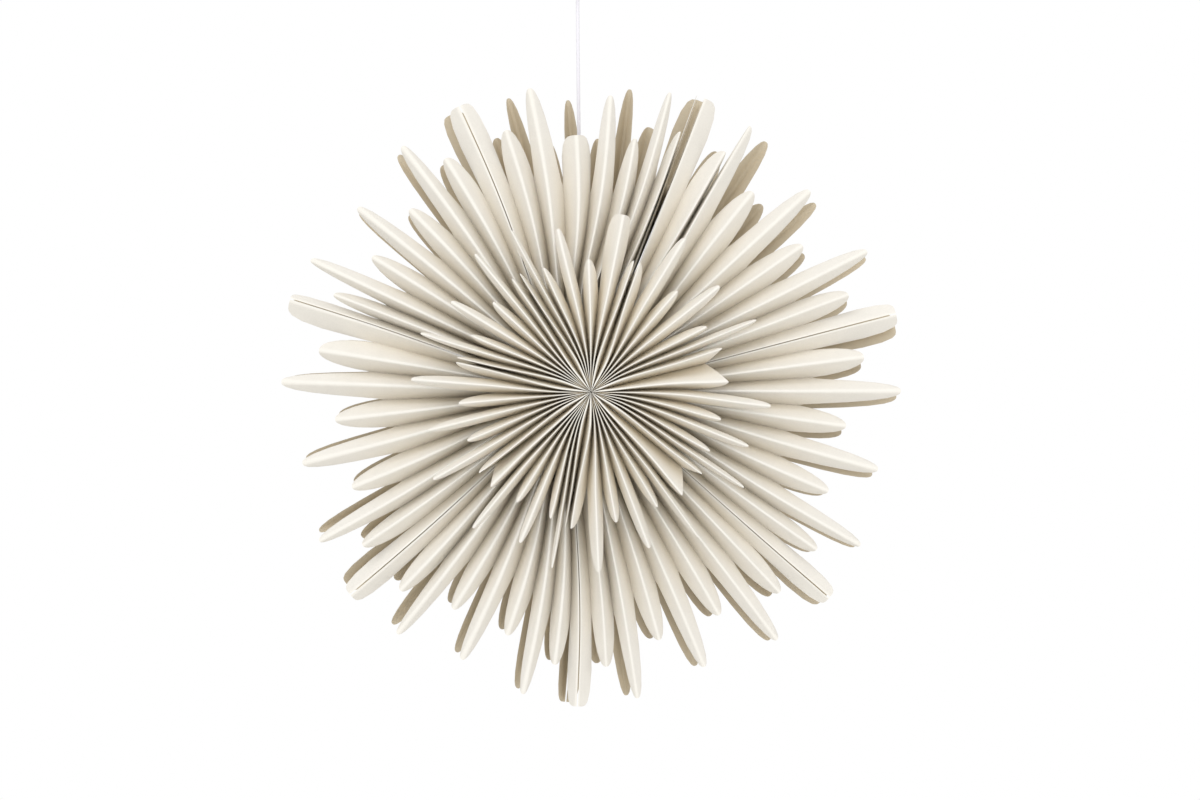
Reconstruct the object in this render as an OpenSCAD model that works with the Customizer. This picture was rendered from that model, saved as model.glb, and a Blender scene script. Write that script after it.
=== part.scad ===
// Paper star lamp. Seven pleated paper segments are fanned round a lampholder.
// The star hangs by a thin cord from a ceiling cup. The origin is the middle of the
// ceiling cup's top face, +Z is up, and the front of the star faces -Y.

/* [Paper] */
// Thickness of the paper
paper_t = 0.15; // [0.1:0.01:0.2]
// Slack between glued sheets
glue_gap = 0.05; // [0.03:0.01:0.1]
// Radius at which the pleats' inner ends are gathered
hub_r = 3; // [2.6:0.1:6]
// Front to back distance between the crests of the large leaves
star_depth = 120; // [104:1:160]

/* [Large leaves] */
// Width of a pleat, from crest to valley
large_pleat_w = 28; // [24:0.5:32]
// Tip radius of the leaves on the seams
seam_tip_r = 300; // [285:1:330]
// Tip radius of the leaves beside the seams
side_tip_r = 262; // [245:1:280]
// Tip radius of the long leaves
long_tip_r = 295; // [270:1:320]
// Tip radius of the short leaves
short_tip_r = 245; // [225:1:265]
// Tip radius of the middle leaf
middle_tip_r = 283; // [255:1:300]
// Radius of the valleys beside the seam leaves and the side leaves
outer_valley_r = 212; // [200:1:222]
// Radius of the valleys between the long leaves and the short leaves
inner_valley_r = 199; // [180:1:210]
// Radius of the valleys beside the middle leaf
middle_valley_r = 190; // [175:1:200]

/* [Small leaves] */
// Width of a pleat, from crest to valley
small_pleat_w = 28; // [22:0.5:30]
// Radius at which a small sheet ends on the seam
small_seam_r = 112; // [104:1:118]
// Tip radius of the leaves beside the seams
small_side_tip_r = 131; // [122:1:145]
// Tip radius of the long leaves
small_long_tip_r = 171; // [150:1:185]
// Tip radius of the short leaves
small_short_tip_r = 126; // [115:1:140]
// Tip radius of the middle leaf
small_middle_tip_r = 158; // [140:1:170]
// Radius of the valleys beside the long leaves
small_outer_valley_r = 90; // [80:1:100]
// Radius of the valleys beside the middle leaf
small_inner_valley_r = 76; // [70:1:88]

/* [Seams] */
// Radius at which the dividers start, outside the room for the bulb
divider_start_r = 56; // [50:1:62]
// Radius from which the large leaves lean sideways
lean_start_r = 100; // [90:1:118]
// Radius at which the large leaves have done most of their lean
lean_knee_r = 170; // [150:1:172]
// Radius from which the small leaves lean sideways
small_lean_start_r = 40; // [20:1:60]
// Radius at which the small sheets have their last full row of points
small_lean_mid_r = 68; // [64:1:69]
// How much narrower than a pleat the dividers' edge strips are
strip_inset = 3; // [2:0.5:6]
// How much lower the seams lie than the leaves' crests
seam_drop = 8; // [0:0.5:12]
// Gap at the closing seam, filled by the pads
closing_gap = 1.4; // [1:0.1:2.4]
// Diameter of a closing pad
pad_d = 14; // [10:1:18]
// Radius of the pads' middles from the star's centre
pad_r = 88; // [78:1:96]
// Distance of the pads' middles from the star's middle plane
pad_y = 32; // [16:1:40]

/* [Lampholder and bulb] */
// Outer diameter of the lampholder's shell
shell_d = 27; // [25:0.5:29]
// Wall of the shell
shell_wall = 1.8; // [1.2:0.1:2.2]
// Height of the shell
shell_h = 52; // [48:1:56]
// Diameter of the shell's flange and of the shade ring
flange_d = 33; // [31.5:0.5:35]
// Thickness of the flange
flange_t = 2; // [1.5:0.1:3]
// Height of the flange's underside over the shell's mouth
flange_up = 27; // [24:1:30]
// Height of the shade ring
shade_ring_h = 8; // [6:0.5:10]
// Bore of the contact insert
insert_bore_d = 14.4; // [14.2:0.1:14.8]
// Depth of the bore of the contact insert
insert_bore_h = 17.3; // [17:0.1:19]
// Thickness of the contact insert above its bore
insert_top_t = 12; // [8:1:14]
// Diameter of the bulb's globe
globe_d = 45; // [38:1:50]
// Height of the bulb, cap included
bulb_h = 75; // [72:1:80]
// Diameter of the bulb's cap
cap_d = 13.9; // [13:0.1:14]
// Height of the bulb's cap
cap_h = 18; // [15:0.5:20]
// Width of the flare between the bulb's cap and its neck
neck_flare = 1.5; // [0.5:0.1:2]
// Height of the bevel at the end of the bulb's cap
cap_bevel_h = 2; // [1:0.1:3]
// Diameter of the carrier's wire
wire_d = 2; // [1.6:0.1:2.4]
// Length of the carrier's left arm from the lampholder's axis
arm_left = 48; // [42:1:56]
// Length of the carrier's right arm from the lampholder's axis
arm_right = 42; // [38:1:52]
// Height of the arms' turned up ends
arm_end_h = 7; // [4:0.5:10]
// Clearance between pieces that fit into each other
fit_gap = 0.3; // [0.2:0.05:0.4]

/* [Hanging] */
// Height of the ceiling over the star's centre
hang_h = 414; // [414:1:440]
// Sideways distance of the star's centre from the ceiling cup's axis
star_x = 12.9; // [11:0.1:14]
// Sideways distance of the lampholder's axis from the ceiling cup's axis
holder_x = 2.4; // [2.2:0.1:2.6]
// Diameter of the cord
cord_d = 3.4; // [3:0.1:3.8]
// Diameter of the ceiling cup at the ceiling
cup_d = 64; // [58:1:80]
// Diameter of the ceiling cup at its floor
cup_floor_d = 52; // [46:1:56]
// Height of the ceiling cup
cup_h = 22; // [20:1:24]
// Wall of the ceiling cup
cup_wall = 1.2; // [0.8:0.1:1.6]
// Width and height of the slope round the ceiling cup's floor
cup_slope = 4; // [3:0.5:5]
// Width and height of the bevel under that slope
cup_bevel = 1; // [0.5:0.1:1.5]
// Thickness of the base plate
plate_t = 1.6; // [1:0.1:2]
// Distance between the screw holes of the base plate
screw_pitch = 40; // [34:1:44]
// Diameter of the screw holes
screw_hole_d = 4.2; // [3.5:0.1:5]
// Diameter of a cord grip's collar
grip_d = 12; // [10:0.5:14]
// Height of a cord grip's collar
grip_h = 10; // [8:0.5:10]
// Diameter of a cord grip's stem
grip_stem_d = 8; // [7:0.5:9]
// Length of a cord grip's stem
grip_stem_h = 6; // [5:0.5:7]
// Height of the nut on the ceiling cup's grip
nut_h = 3; // [2.5:0.1:3]
// How much wider the nut is than a grip's collar
nut_rim = 1; // [0.5:0.1:1.5]
// Length of the terminal block
block_l = 18; // [15:1:24]
// Width of the terminal block
block_w = 12; // [10:1:16]
// Height of the terminal block
block_h = 10; // [9.5:0.1:11]
// Depth of the cord's hole in the terminal block
block_hole_h = 3; // [3:0.5:4]

/* [Hidden] */
$fn = 64;
segments = 7;
paper_colour = "#ece7da";
crest = star_depth / 2;
seam_crest = crest - seam_drop;
leaf_count = 7;

// Turns of the seams at the hub, counter-clockwise from +X as seen from the front.
seam_root = [14, 70.5, 121.7, 166.2, 216.7, 260, 320.5];
// Turns of the seams at the leaves' tips, in front and at the rear.
seam_tip_front = [14.4, 69.6, 114.7, 162.8, 220.1, 267.5, 319.2];
seam_tip_rear = [12.4, 68.4, 116.5, 163, 218.5, 265.3, 318.5];
// The closing seam, and how far it opens to each side at the tips.
closing_seam = 1;
closing_spread_front = 0.45;
closing_spread_rear = 0.2;

// Turns of the leaves' tips in each segment, counted on past a full turn in the last one.
large_turns = [
    [20.7, 27, 34.7, 42.6, 51, 59.2, 60.7],
    [71, 75.2, 80.1, 86.2, 93.2, 101.5, 108],
    [122, 127.5, 134.8, 141.7, 148.3, 154.8, 159.3],
    [171.3, 178.1, 186.2, 193.9, 201.8, 208.8, 213.9],
    [226.2, 231.3, 237.6, 244.2, 251, 257.3, 262.4],
    [273.2, 278.6, 285.4, 292.4, 299.9, 306.9, 313.3],
    [325.1, 330.3, 337.3, 344.9, 352.4, 360.2, 367.3]
];
rear_turns = [
    [19.6, 26, 32.8, 40, 47.6, 55, 62.4],
    [77.7, 82.7, 88.5, 94.6, 99.5, 105.8, 110.5],
    [123.3, 129.1, 135.9, 142.2, 148.6, 154.9, 159.2],
    [170.9, 177.9, 185.3, 193.2, 200.7, 207.1, 212.1],
    [223.6, 229.4, 236, 242.6, 249.2, 256.1, 261.1],
    [271.2, 276.6, 283.6, 290.9, 298, 305.8, 311.4],
    [324.4, 329.7, 336.6, 343.6, 350.8, 359.2, 365.6]
];
small_turns = [
    [18.3, 23.5, 29.3, 39.5, 49.5, 58.5, 69.3],
    [71.8, 79.5, 91, 101.5, 111, 116.3, 121.1],
    [124.8, 130, 137.5, 147.2, 154.8, 161, 165.7],
    [167.5, 176, 185, 193.3, 201.5, 209, 216],
    [223.3, 229, 236, 244.8, 252.3, 257.6, 259.3],
    [261.5, 272.5, 281, 290.5, 300, 306.5, 311.5],
    [323.5, 328, 333.5, 341, 348, 355.5, 364.3]
];

// Reach of the folds from a seam to the middle of a sheet.
large_reach = [
    seam_tip_r, outer_valley_r, side_tip_r, outer_valley_r, long_tip_r,
    inner_valley_r, short_tip_r, middle_valley_r, middle_tip_r
];
// The cut of a panel's edge from tip to valley, as powers of its share and of its height.
straight_cut = [1, 1];
slim_cut = [2.6, 0.5];
round_cut = [2.2, 1];
broad_cut = [2.4, 1.25];
// The cut of each panel, from a seam to the middle.
large_cuts = [
    round_cut, broad_cut, broad_cut, slim_cut, slim_cut, round_cut, round_cut, slim_cut
];
small_reach = [
    small_seam_r, small_side_tip_r, small_outer_valley_r, small_long_tip_r,
    small_outer_valley_r, small_short_tip_r, small_inner_valley_r, small_middle_tip_r
];
small_cuts = [
    straight_cut, round_cut, slim_cut, slim_cut, round_cut, round_cut, slim_cut
];
large_rows = [hub_r, divider_start_r, lean_start_r, lean_knee_r];
small_rows = [hub_r, small_lean_start_r, small_lean_mid_r];
lean_knee_share = 0.85;
edge_steps = [0.3, 0.62, 0.88];
small_edge_steps = [0.4, 0.8];

// Points of the cord's route, from the lampholder up to the terminal block.
cord_route = [
    [2.4, 0, -347], [2.4, 0, -330], [2.4, 0, -312], [2.4, 0, -294], [2.3, 0, -276],
    [2.2, 0, -258], [2, 0, -240], [1.8, 0, -222], [1.6, 0, -204], [1.4, 0, -186],
    [1.2, 0, -168], [1, 0, -150], [0.8, 0, -132], [0.6, 0, -114], [0.4, 0, -96],
    [0.2, 0, -78], [0.1, 0, -60], [0, 0, -42], [0, 0, -26], [0, 0, -10]
];
cord_sides = 8;
wire_sides = 24;

// Turn over the globe's widest place at which the bulb's neck starts.
neck_turn = 25;
// Places on a divider's edge between a half leaf's valley and its tip.
half_leaf_shares = [0.35, 0.75];
// Gap between pieces that lie on each other.
seat_gap = fit_gap / 3;
// How far a cutting shape stands out of what it cuts.
cut_over = 1;

// Heights of the lamp's pieces over the star's centre.
cap_top_z = bulb_h - globe_d / 2;
mouth_z = cap_top_z - cap_h - fit_gap;
flange_z = mouth_z + flange_up;
wire_z = flange_z - wire_d / 2;
insert_z = cap_top_z + fit_gap - insert_bore_h;
shell_top_z = mouth_z + shell_h;
shell_bore_d = shell_d - 2 * shell_wall;
bore_d = cord_d + 2 * fit_gap;

FRONT_LEAVES = [for (k = [1:segments]) str("front_leaves_", k)];
REAR_LEAVES = [for (k = [1:segments]) str("rear_leaves_", k)];
FRONT_ROSETTES = [for (k = [1:segments]) str("front_rosette_", k)];
REAR_ROSETTES = [for (k = [1:segments]) str("rear_rosette_", k)];
DIVIDERS = [for (k = [1:segments]) if (k != closing_seam + 1) str("divider_", k)];

// Places.

module at_star() {
    translate([star_x, 0, -hang_h]) children();
}

module at_holder() {
    translate([holder_x, 0, -hang_h]) children();
}

// A point at a radius and a turn, shifted sideways along the turn, y in front of the middle.
function star_point(r, turn, side, y) =
    [r * cos(turn) - side * sin(turn), -y, r * sin(turn) + side * cos(turn)];

function mix(a, b, share) = a + (b - a) * share;

// Pleated sheets.

// Half width, outline height and stacking of a pleat at a radius.
function pleat_half(r, pitch) = r * sin(pitch);
function pleat_drop(r, pitch, w) = sqrt(w * w - pleat_half(r, pitch) * pleat_half(r, pitch));
function pleat_lift(r, pitch, w) = w * paper_t / (pleat_half(r, pitch) + paper_t);

// Sheets stop short of a seam by half of what stands in it. Inside the dividers, where
// nothing does, they close up.
function seam_side(r, side) = mix(glue_gap / 2, side, min(1, r / divider_start_r));

// The outline between a crest and a valley: share 0 is the tip, and share 1 the valley.
function outline_r(tip_r, valley_r, share, cut) =
    mix(valley_r, tip_r, pow(1 - pow(share, cut[0]), 1 / cut[1]));

// A list that runs to the sheet's middle, read on past it as its mirror image.
function mirrored(half, i) = half[i < len(half) ? i : 2 * len(half) - 2 - i];

// The share of a turn done at a radius on a straight line from one radius to another.
function straight_share(r, from_r, to_r) =
    r <= from_r ? 0 : min(1, (1 / from_r - 1 / r) / (1 / from_r - 1 / to_r));

// The share of its lean that a leaf has done at a radius. A large leaf's fold has a knee.
function large_lean(r, tip_r) =
    r < lean_knee_r
    ? lean_knee_share * straight_share(r, lean_start_r, lean_knee_r)
    : mix(lean_knee_share, 1, straight_share(r, lean_knee_r, tip_r));
function small_lean(r, tip_r) = straight_share(r, small_lean_start_r, tip_r);

// One folded sheet. Crest folds and valley folds alternate; root and tip give their turns.
module pleated_sheet(root, tip, reach, cuts, first_is_crest, w, level, flat_valleys,
                     first_side, last_side, rows, steps, lean) {
    last = len(root) - 1;
    pitch = (root[last] - root[0]) / last;
    row_count = len(rows);
    per_fold = row_count + 1;
    per_panel = len(steps);

    function is_crest(i) = (i % 2 == 0) == first_is_crest;
    function turn_at(i, r) =
        is_crest(i) || i == 0 || i == last
        ? mix(root[i], tip[i], lean(r, mirrored(reach, i)))
        : (turn_at(i - 1, r) + turn_at(i + 1, r)) / 2;
    function side_at(i, r) =
        i == 0 ? seam_side(r, first_side) : i == last ? -seam_side(r, last_side) : 0;
    function crest_y(r) = flat_valleys ? level + pleat_drop(r, pitch, w) : level;
    function outer_y(i, r) =
        (is_crest(i) ? crest_y(r)
         : crest_y(r) - pleat_drop(r, pitch, w) + pleat_lift(r, pitch, w))
        - (i == 0 || i == last ? seam_drop : 0);
    function inner_y(i, r) = outer_y(i, r) - pleat_lift(r, pitch, w);
    function fold_point(i, r, outer) =
        star_point(r, turn_at(i, r), side_at(i, r), outer ? outer_y(i, r) : inner_y(i, r));
    function edge_point(i, share, outer) =
        let (
            crest_fold = is_crest(i) ? i : i + 1,
            valley_fold = is_crest(i) ? i + 1 : i,
            r = outline_r(mirrored(reach, crest_fold), mirrored(reach, valley_fold), share,
                          cuts[i < last / 2 ? i : last - 1 - i]),
            a = outer ? outer_y(crest_fold, r) : inner_y(crest_fold, r),
            b = outer ? outer_y(valley_fold, r) : inner_y(valley_fold, r)
        )
        star_point(r, mix(turn_at(crest_fold, r), turn_at(valley_fold, r), share),
                   mix(side_at(crest_fold, r), side_at(valley_fold, r), share),
                   mix(a, b, share));
    function layer(outer) = concat(
        [for (i = [0:last]) for (r = concat(rows, [mirrored(reach, i)])) fold_point(i, r, outer)],
        [for (i = [0:last - 1]) for (k = [0:per_panel - 1])
            edge_point(i, steps[is_crest(i) ? k : per_panel - 1 - k], outer)]
    );

    fold_total = (last + 1) * per_fold;
    total = fold_total + last * per_panel;
    function at(i, j) = i * per_fold + j;
    function rim(i) = concat(
        [at(i, row_count)],
        [for (k = [0:per_panel - 1]) fold_total + i * per_panel + k],
        [at(i + 1, row_count)]
    );
    // The panel beyond the last row is a fan from the valley fold.
    function fan(i) =
        let (
            top = row_count - 1,
            loop = concat([at(i, top)], rim(i), [at(i + 1, top)]),
            from = is_crest(i) ? len(loop) - 1 : 0
        )
        [for (k = [0:len(loop) - 2]) if (k != from && k + 1 != from)
            [loop[from], loop[k], loop[k + 1]]];
    front = concat(
        [for (i = [0:last - 1]) for (j = [0:row_count - 2])
            each [[at(i, j), at(i, j + 1), at(i + 1, j + 1)], [at(i, j), at(i + 1, j + 1), at(i + 1, j)]]],
        [for (i = [0:last - 1]) each fan(i)]
    );
    function band(a, b) = [[a, b, b + total], [a, b + total, a + total]];
    faces = concat(
        [for (f = front) [f[2], f[1], f[0]]],
        [for (f = front) f + [total, total, total]],
        [for (i = [0:last - 1]) for (k = [0:per_panel]) each band(rim(i)[k], rim(i)[k + 1])],
        [for (i = [0:last - 1]) each band(at(i + 1, 0), at(i, 0))],
        [for (j = [0:row_count - 1]) each band(at(0, j), at(0, j + 1))],
        [for (j = [0:row_count - 1]) each band(at(last, j + 1), at(last, j))]
    );
    polyhedron(points = concat(layer(true), layer(false)), faces = faces);
}

// Turns of the segments.

function root_of(k) = seam_root[k % segments] + (k >= segments ? 360 : 0);
function tip_of(tips, k, spread) =
    tips[k % segments] + (k >= segments ? 360 : 0) + (k % segments == closing_seam ? spread : 0);
// What a sheet leaves free at a seam: half of the divider, or at the closing seam an end
// panel and half of the gap.
function seam_space(k) =
    k % segments == closing_seam ? closing_gap / 2 + paper_t + glue_gap : paper_t / 2 + glue_gap;
function even(a, b, count) = [for (i = [0:count]) mix(a, b, i / count)];

module large_leaves(k, tips, spread, turns) {
    folds = 2 * (leaf_count + 1);
    crests = concat([tip_of(tips, k, spread)], turns, [tip_of(tips, k + 1, -spread)]);
    tip = [for (i = [0:folds]) crests[floor(i / 2)]];
    pleated_sheet(even(root_of(k), root_of(k + 1), folds), tip, large_reach, large_cuts, true,
                  large_pleat_w, crest, false, seam_space(k), seam_space(k + 1), large_rows,
                  edge_steps, function(r, tip_r) large_lean(r, tip_r));
}

// Without turns the leaves stand as evenly as at the hub.
module small_leaves(k, turns) {
    folds = 2 * leaf_count;
    root = even(root_of(k), root_of(k + 1), folds);
    tip = [for (i = [0:folds]) i % 2 == 1 && len(turns) > 0 ? turns[(i - 1) / 2] : root[i]];
    pleated_sheet(root, tip, small_reach, small_cuts, false, small_pleat_w,
                  crest + glue_gap, true, glue_gap / 2, glue_gap / 2, small_rows,
                  small_edge_steps, function(r, tip_r) small_lean(r, tip_r));
}

module front_leaves(k) {
    color(paper_colour)
        at_star() large_leaves(k, seam_tip_front, closing_spread_front, large_turns[k]);
}

module rear_leaves(k) {
    color(paper_colour)
        at_star() mirror([0, 1, 0]) large_leaves(k, seam_tip_rear, closing_spread_rear, rear_turns[k]);
}

module front_rosette(k) {
    color(paper_colour) at_star() small_leaves(k, small_turns[k]);
}

module rear_rosette(k) {
    color(paper_colour) at_star() mirror([0, 1, 0]) small_leaves(k, []);
}

// Dividers in the seams.

// A flat sheet from the front crest to the rear crest, cut at both ends as half a seam leaf.
module divider_sheet(k, side, spread_sign) {
    neck = crest - large_pleat_w + strip_inset;
    half_leaf = [for (share = half_leaf_shares)
        [outline_r(seam_tip_r, outer_valley_r, share, large_cuts[0]), mix(seam_crest, neck, share)]];
    outline = [
        [divider_start_r, seam_crest], [lean_start_r, seam_crest], [lean_knee_r, seam_crest],
        [seam_tip_r, seam_crest],
        half_leaf[0], half_leaf[1], [outer_valley_r, neck],
        [outer_valley_r, -neck], [half_leaf[1][0], -half_leaf[1][1]],
        [half_leaf[0][0], -half_leaf[0][1]], [seam_tip_r, -seam_crest],
        [lean_knee_r, -seam_crest], [lean_start_r, -seam_crest], [divider_start_r, -seam_crest],
        [divider_start_r, -neck], [divider_start_r, neck],
        [lean_start_r, neck], [lean_start_r, -neck],
        [lean_knee_r, neck], [lean_knee_r, -neck]
    ];
    function turn_at(r, y) = mix(
        mix(seam_root[k], tip_of(seam_tip_rear, k, spread_sign * closing_spread_rear),
            large_lean(r, seam_tip_r)),
        mix(seam_root[k], tip_of(seam_tip_front, k, spread_sign * closing_spread_front),
            large_lean(r, seam_tip_r)),
        (y + seam_crest) / (2 * seam_crest)
    );
    function layer(shift) =
        [for (p = outline) star_point(p[0], turn_at(p[0], p[1]), side + shift, p[1])];
    skin = [
        [0, 1, 16], [0, 16, 15], [15, 16, 17], [15, 17, 14], [14, 17, 12], [14, 12, 13],
        [16, 1, 2], [16, 2, 18], [16, 18, 19], [16, 19, 17], [17, 19, 11], [17, 11, 12],
        [18, 2, 3], [18, 3, 4], [18, 4, 5], [18, 5, 6], [18, 6, 19],
        [19, 6, 7], [19, 7, 8], [19, 8, 9], [19, 9, 10], [19, 10, 11]
    ];
    loop = [0, 1, 2, 3, 4, 5, 6, 7, 8, 9, 10, 11, 12, 13, 14, 15];
    total = len(outline);
    polyhedron(
        points = concat(layer(-paper_t / 2), layer(paper_t / 2)),
        faces = concat(
            skin,
            [for (f = skin) [f[2] + total, f[1] + total, f[0] + total]],
            [for (i = [0:len(loop) - 1])
                let (a = loop[i], b = loop[(i + 1) % len(loop)])
                each [[b, a, a + total], [b, a + total, b + total]]]
        )
    );
}

// The hole that the carrier's arm passes through.
module arm_hole() {
    translate([holder_x, 0, wire_z - hang_h]) rotate([0, 90, 0])
        cylinder(d = wire_d + 2 * fit_gap, h = 3 * divider_start_r, center = true);
}

module seam_sheet(k, side, spread_sign) {
    color(paper_colour) difference() {
        at_star() divider_sheet(k, side, spread_sign);
        if (k == closing_seam || k == closing_seam + 1) arm_hole();
    }
}

module divider(k) {
    seam_sheet(k, 0, 0);
}

module end_panel_first() {
    seam_sheet(closing_seam, closing_gap / 2 + paper_t / 2, 1);
}

module end_panel_last() {
    seam_sheet(closing_seam, -closing_gap / 2 - paper_t / 2, -1);
}

// Two round pads hold the fan's ends together.
module closing_pads() {
    color("#f4f2ec") at_star()
        for (y = [-pad_y, pad_y])
            rotate([0, -seam_root[closing_seam], 0]) translate([pad_r, y, 0])
                cylinder(d = pad_d, h = closing_gap - 2 * glue_gap, center = true);
}

// Lampholder and bulb.

// A wire ring under the shell's flange, with two arms through the sheets of the top segment.
ring_r = shell_d / 2 + fit_gap + wire_d / 2;

module carrier_arm(length) {
    translate([ring_r, 0, 0]) rotate([0, 90, 0]) cylinder(d = wire_d, h = length - ring_r);
    translate([length, 0, 0]) sphere(d = wire_d);
    translate([length, 0, 0]) cylinder(d = wire_d, h = arm_end_h);
}

module shade_carrier() {
    color("silver") at_holder() translate([0, 0, wire_z - seat_gap]) {
        rotate_extrude() translate([ring_r, 0]) circle(d = wire_d, $fn = wire_sides);
        carrier_arm(arm_right);
        rotate([0, 0, 180]) carrier_arm(arm_left);
    }
}

module shade_ring() {
    color("white") at_holder()
        translate([0, 0, flange_z - wire_d - 2 * seat_gap - shade_ring_h])
            difference() {
                cylinder(d = flange_d, h = shade_ring_h);
                translate([0, 0, -cut_over])
                    cylinder(d = shell_d + fit_gap, h = shade_ring_h + 2 * cut_over);
            }
}

module lampholder_shell() {
    color("white") at_holder() difference() {
        union() {
            translate([0, 0, mouth_z]) cylinder(d = shell_d, h = shell_h);
            translate([0, 0, flange_z]) cylinder(d = flange_d, h = flange_t);
        }
        translate([0, 0, mouth_z - cut_over])
            cylinder(d = shell_bore_d, h = shell_h + cut_over - shell_wall);
        translate([0, 0, mouth_z]) cylinder(d = grip_stem_d + fit_gap, h = shell_h + cut_over);
    }
}

module contact_insert() {
    color("ivory") at_holder() difference() {
        translate([0, 0, insert_z])
            cylinder(d = shell_bore_d - fit_gap, h = insert_bore_h + insert_top_t);
        translate([0, 0, insert_z - cut_over])
            cylinder(d = insert_bore_d, h = insert_bore_h + cut_over);
    }
}

// A collar with a stem below it that passes through a wall.
module cord_grip_shape() {
    difference() {
        union() {
            cylinder(d = grip_d, h = grip_h);
            translate([0, 0, -grip_stem_h]) cylinder(d = grip_stem_d, h = grip_stem_h + cut_over);
        }
        translate([0, 0, -grip_stem_h - cut_over])
            cylinder(d = bore_d, h = grip_h + grip_stem_h + 2 * cut_over);
    }
}

module holder_cord_grip() {
    color("white") at_holder() translate([0, 0, shell_top_z + seat_gap]) cord_grip_shape();
}

// The bulb is one sealed piece: globe, neck and cap.
module bulb() {
    globe_r = globe_d / 2;
    neck_z = mouth_z - fit_gap;
    color("white") at_holder() rotate_extrude() {
        intersection() {
            circle(r = globe_r);
            translate([0, -globe_r]) square([globe_r, globe_d]);
        }
        polygon([
            [0, 0], globe_r * [cos(neck_turn), sin(neck_turn)], [cap_d / 2 + neck_flare, neck_z],
            [cap_d / 2, neck_z], [cap_d / 2, cap_top_z - cap_bevel_h], [cap_d / 4, cap_top_z],
            [0, cap_top_z]
        ]);
    }
}

// Cord and ceiling cup.

// The route's points and one more between each two.
function cord_points() = concat(
    [for (i = [0:len(cord_route) - 2])
        each [cord_route[i], (cord_route[i] + cord_route[i + 1]) / 2]],
    [cord_route[len(cord_route) - 1]]
);

module cord() {
    points = cord_points();
    rings = len(points);
    color("#efedf4") polyhedron(
        points = [for (p = points) for (s = [0:cord_sides - 1])
            p + cord_d / 2 * [cos(360 * s / cord_sides), sin(360 * s / cord_sides), 0]],
        faces = concat(
            [[for (s = [0:cord_sides - 1]) s]],
            [for (i = [0:rings - 2]) for (s = [0:cord_sides - 1])
                let (a = i * cord_sides + s, b = i * cord_sides + (s + 1) % cord_sides)
                each [[a, a + cord_sides, b + cord_sides], [a, b + cord_sides, b]]],
            [[for (s = [cord_sides - 1:-1:0]) (rings - 1) * cord_sides + s]]
        )
    );
}

module cup_cord_grip() {
    color("white") translate([0, 0, -cup_h - seat_gap]) rotate([180, 0, 0]) cord_grip_shape();
}

module cup_grip_nut() {
    color("silver") translate([0, 0, -cup_h + cup_wall + seat_gap]) difference() {
        cylinder(d = grip_d + nut_rim, h = nut_h, $fn = 6);
        translate([0, 0, -cut_over])
            cylinder(d = grip_stem_d + fit_gap, h = nut_h + 2 * cut_over);
    }
}

module ceiling_cup() {
    floor_r = cup_floor_d / 2;
    color("white") difference() {
        rotate_extrude() polygon([
            [0, -cup_h], [floor_r - cup_slope, -cup_h], [floor_r - cup_bevel, -cup_h + cup_bevel],
            [floor_r, -cup_h + cup_slope], [cup_d / 2, 0], [cup_d / 2 - cup_wall, 0],
            [floor_r - cup_wall, -cup_h + cup_slope], [floor_r - cup_slope, -cup_h + cup_wall],
            [0, -cup_h + cup_wall]
        ]);
        translate([0, 0, -cup_h - cut_over])
            cylinder(d = grip_stem_d + fit_gap, h = cup_wall + 2 * cut_over);
    }
}

module terminal_block() {
    color("white") translate([0, 0, -plate_t - seat_gap - block_h]) difference() {
        translate([-block_l / 2, -block_w / 2, 0]) cube([block_l, block_w, block_h]);
        translate([0, 0, -cut_over]) cylinder(d = bore_d, h = block_hole_h + cut_over);
    }
}

// The mount: a round plate against the ceiling, inside the cup's rim.
module base_plate() {
    rim_slope = (cup_d - cup_floor_d) / 2 / (cup_h - cup_slope);
    plate_r = cup_d / 2 - cup_wall - fit_gap - rim_slope * plate_t;
    color("silver") translate([0, 0, -plate_t]) difference() {
        cylinder(r = plate_r, h = plate_t);
        for (x = [-screw_pitch / 2, screw_pitch / 2])
            translate([x, 0, -cut_over]) cylinder(d = screw_hole_d, h = plate_t + 2 * cut_over);
    }
}

for (k = [1:segments]) {
    front_leaves(k - 1);
    rear_leaves(k - 1);
    front_rosette(k - 1);
    rear_rosette(k - 1);
    if (k != closing_seam + 1)
        divider(k - 1);
}
end_panel_first();
end_panel_last();
closing_pads();
shade_carrier();
shade_ring();
lampholder_shell();
contact_insert();
holder_cord_grip();
bulb();
cord();
cup_cord_grip();
cup_grip_nut();
ceiling_cup();
terminal_block();
base_plate();
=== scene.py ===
"""Paper star lamp: seven pleated paper segments fanned round a lampholder.

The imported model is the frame: the ceiling cup's top face is at the origin, +Z is up, and
the front of the star faces -Y. Everything is in metres.
"""

from math import atan2, ceil, cos, pi, radians, sin, sqrt

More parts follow.
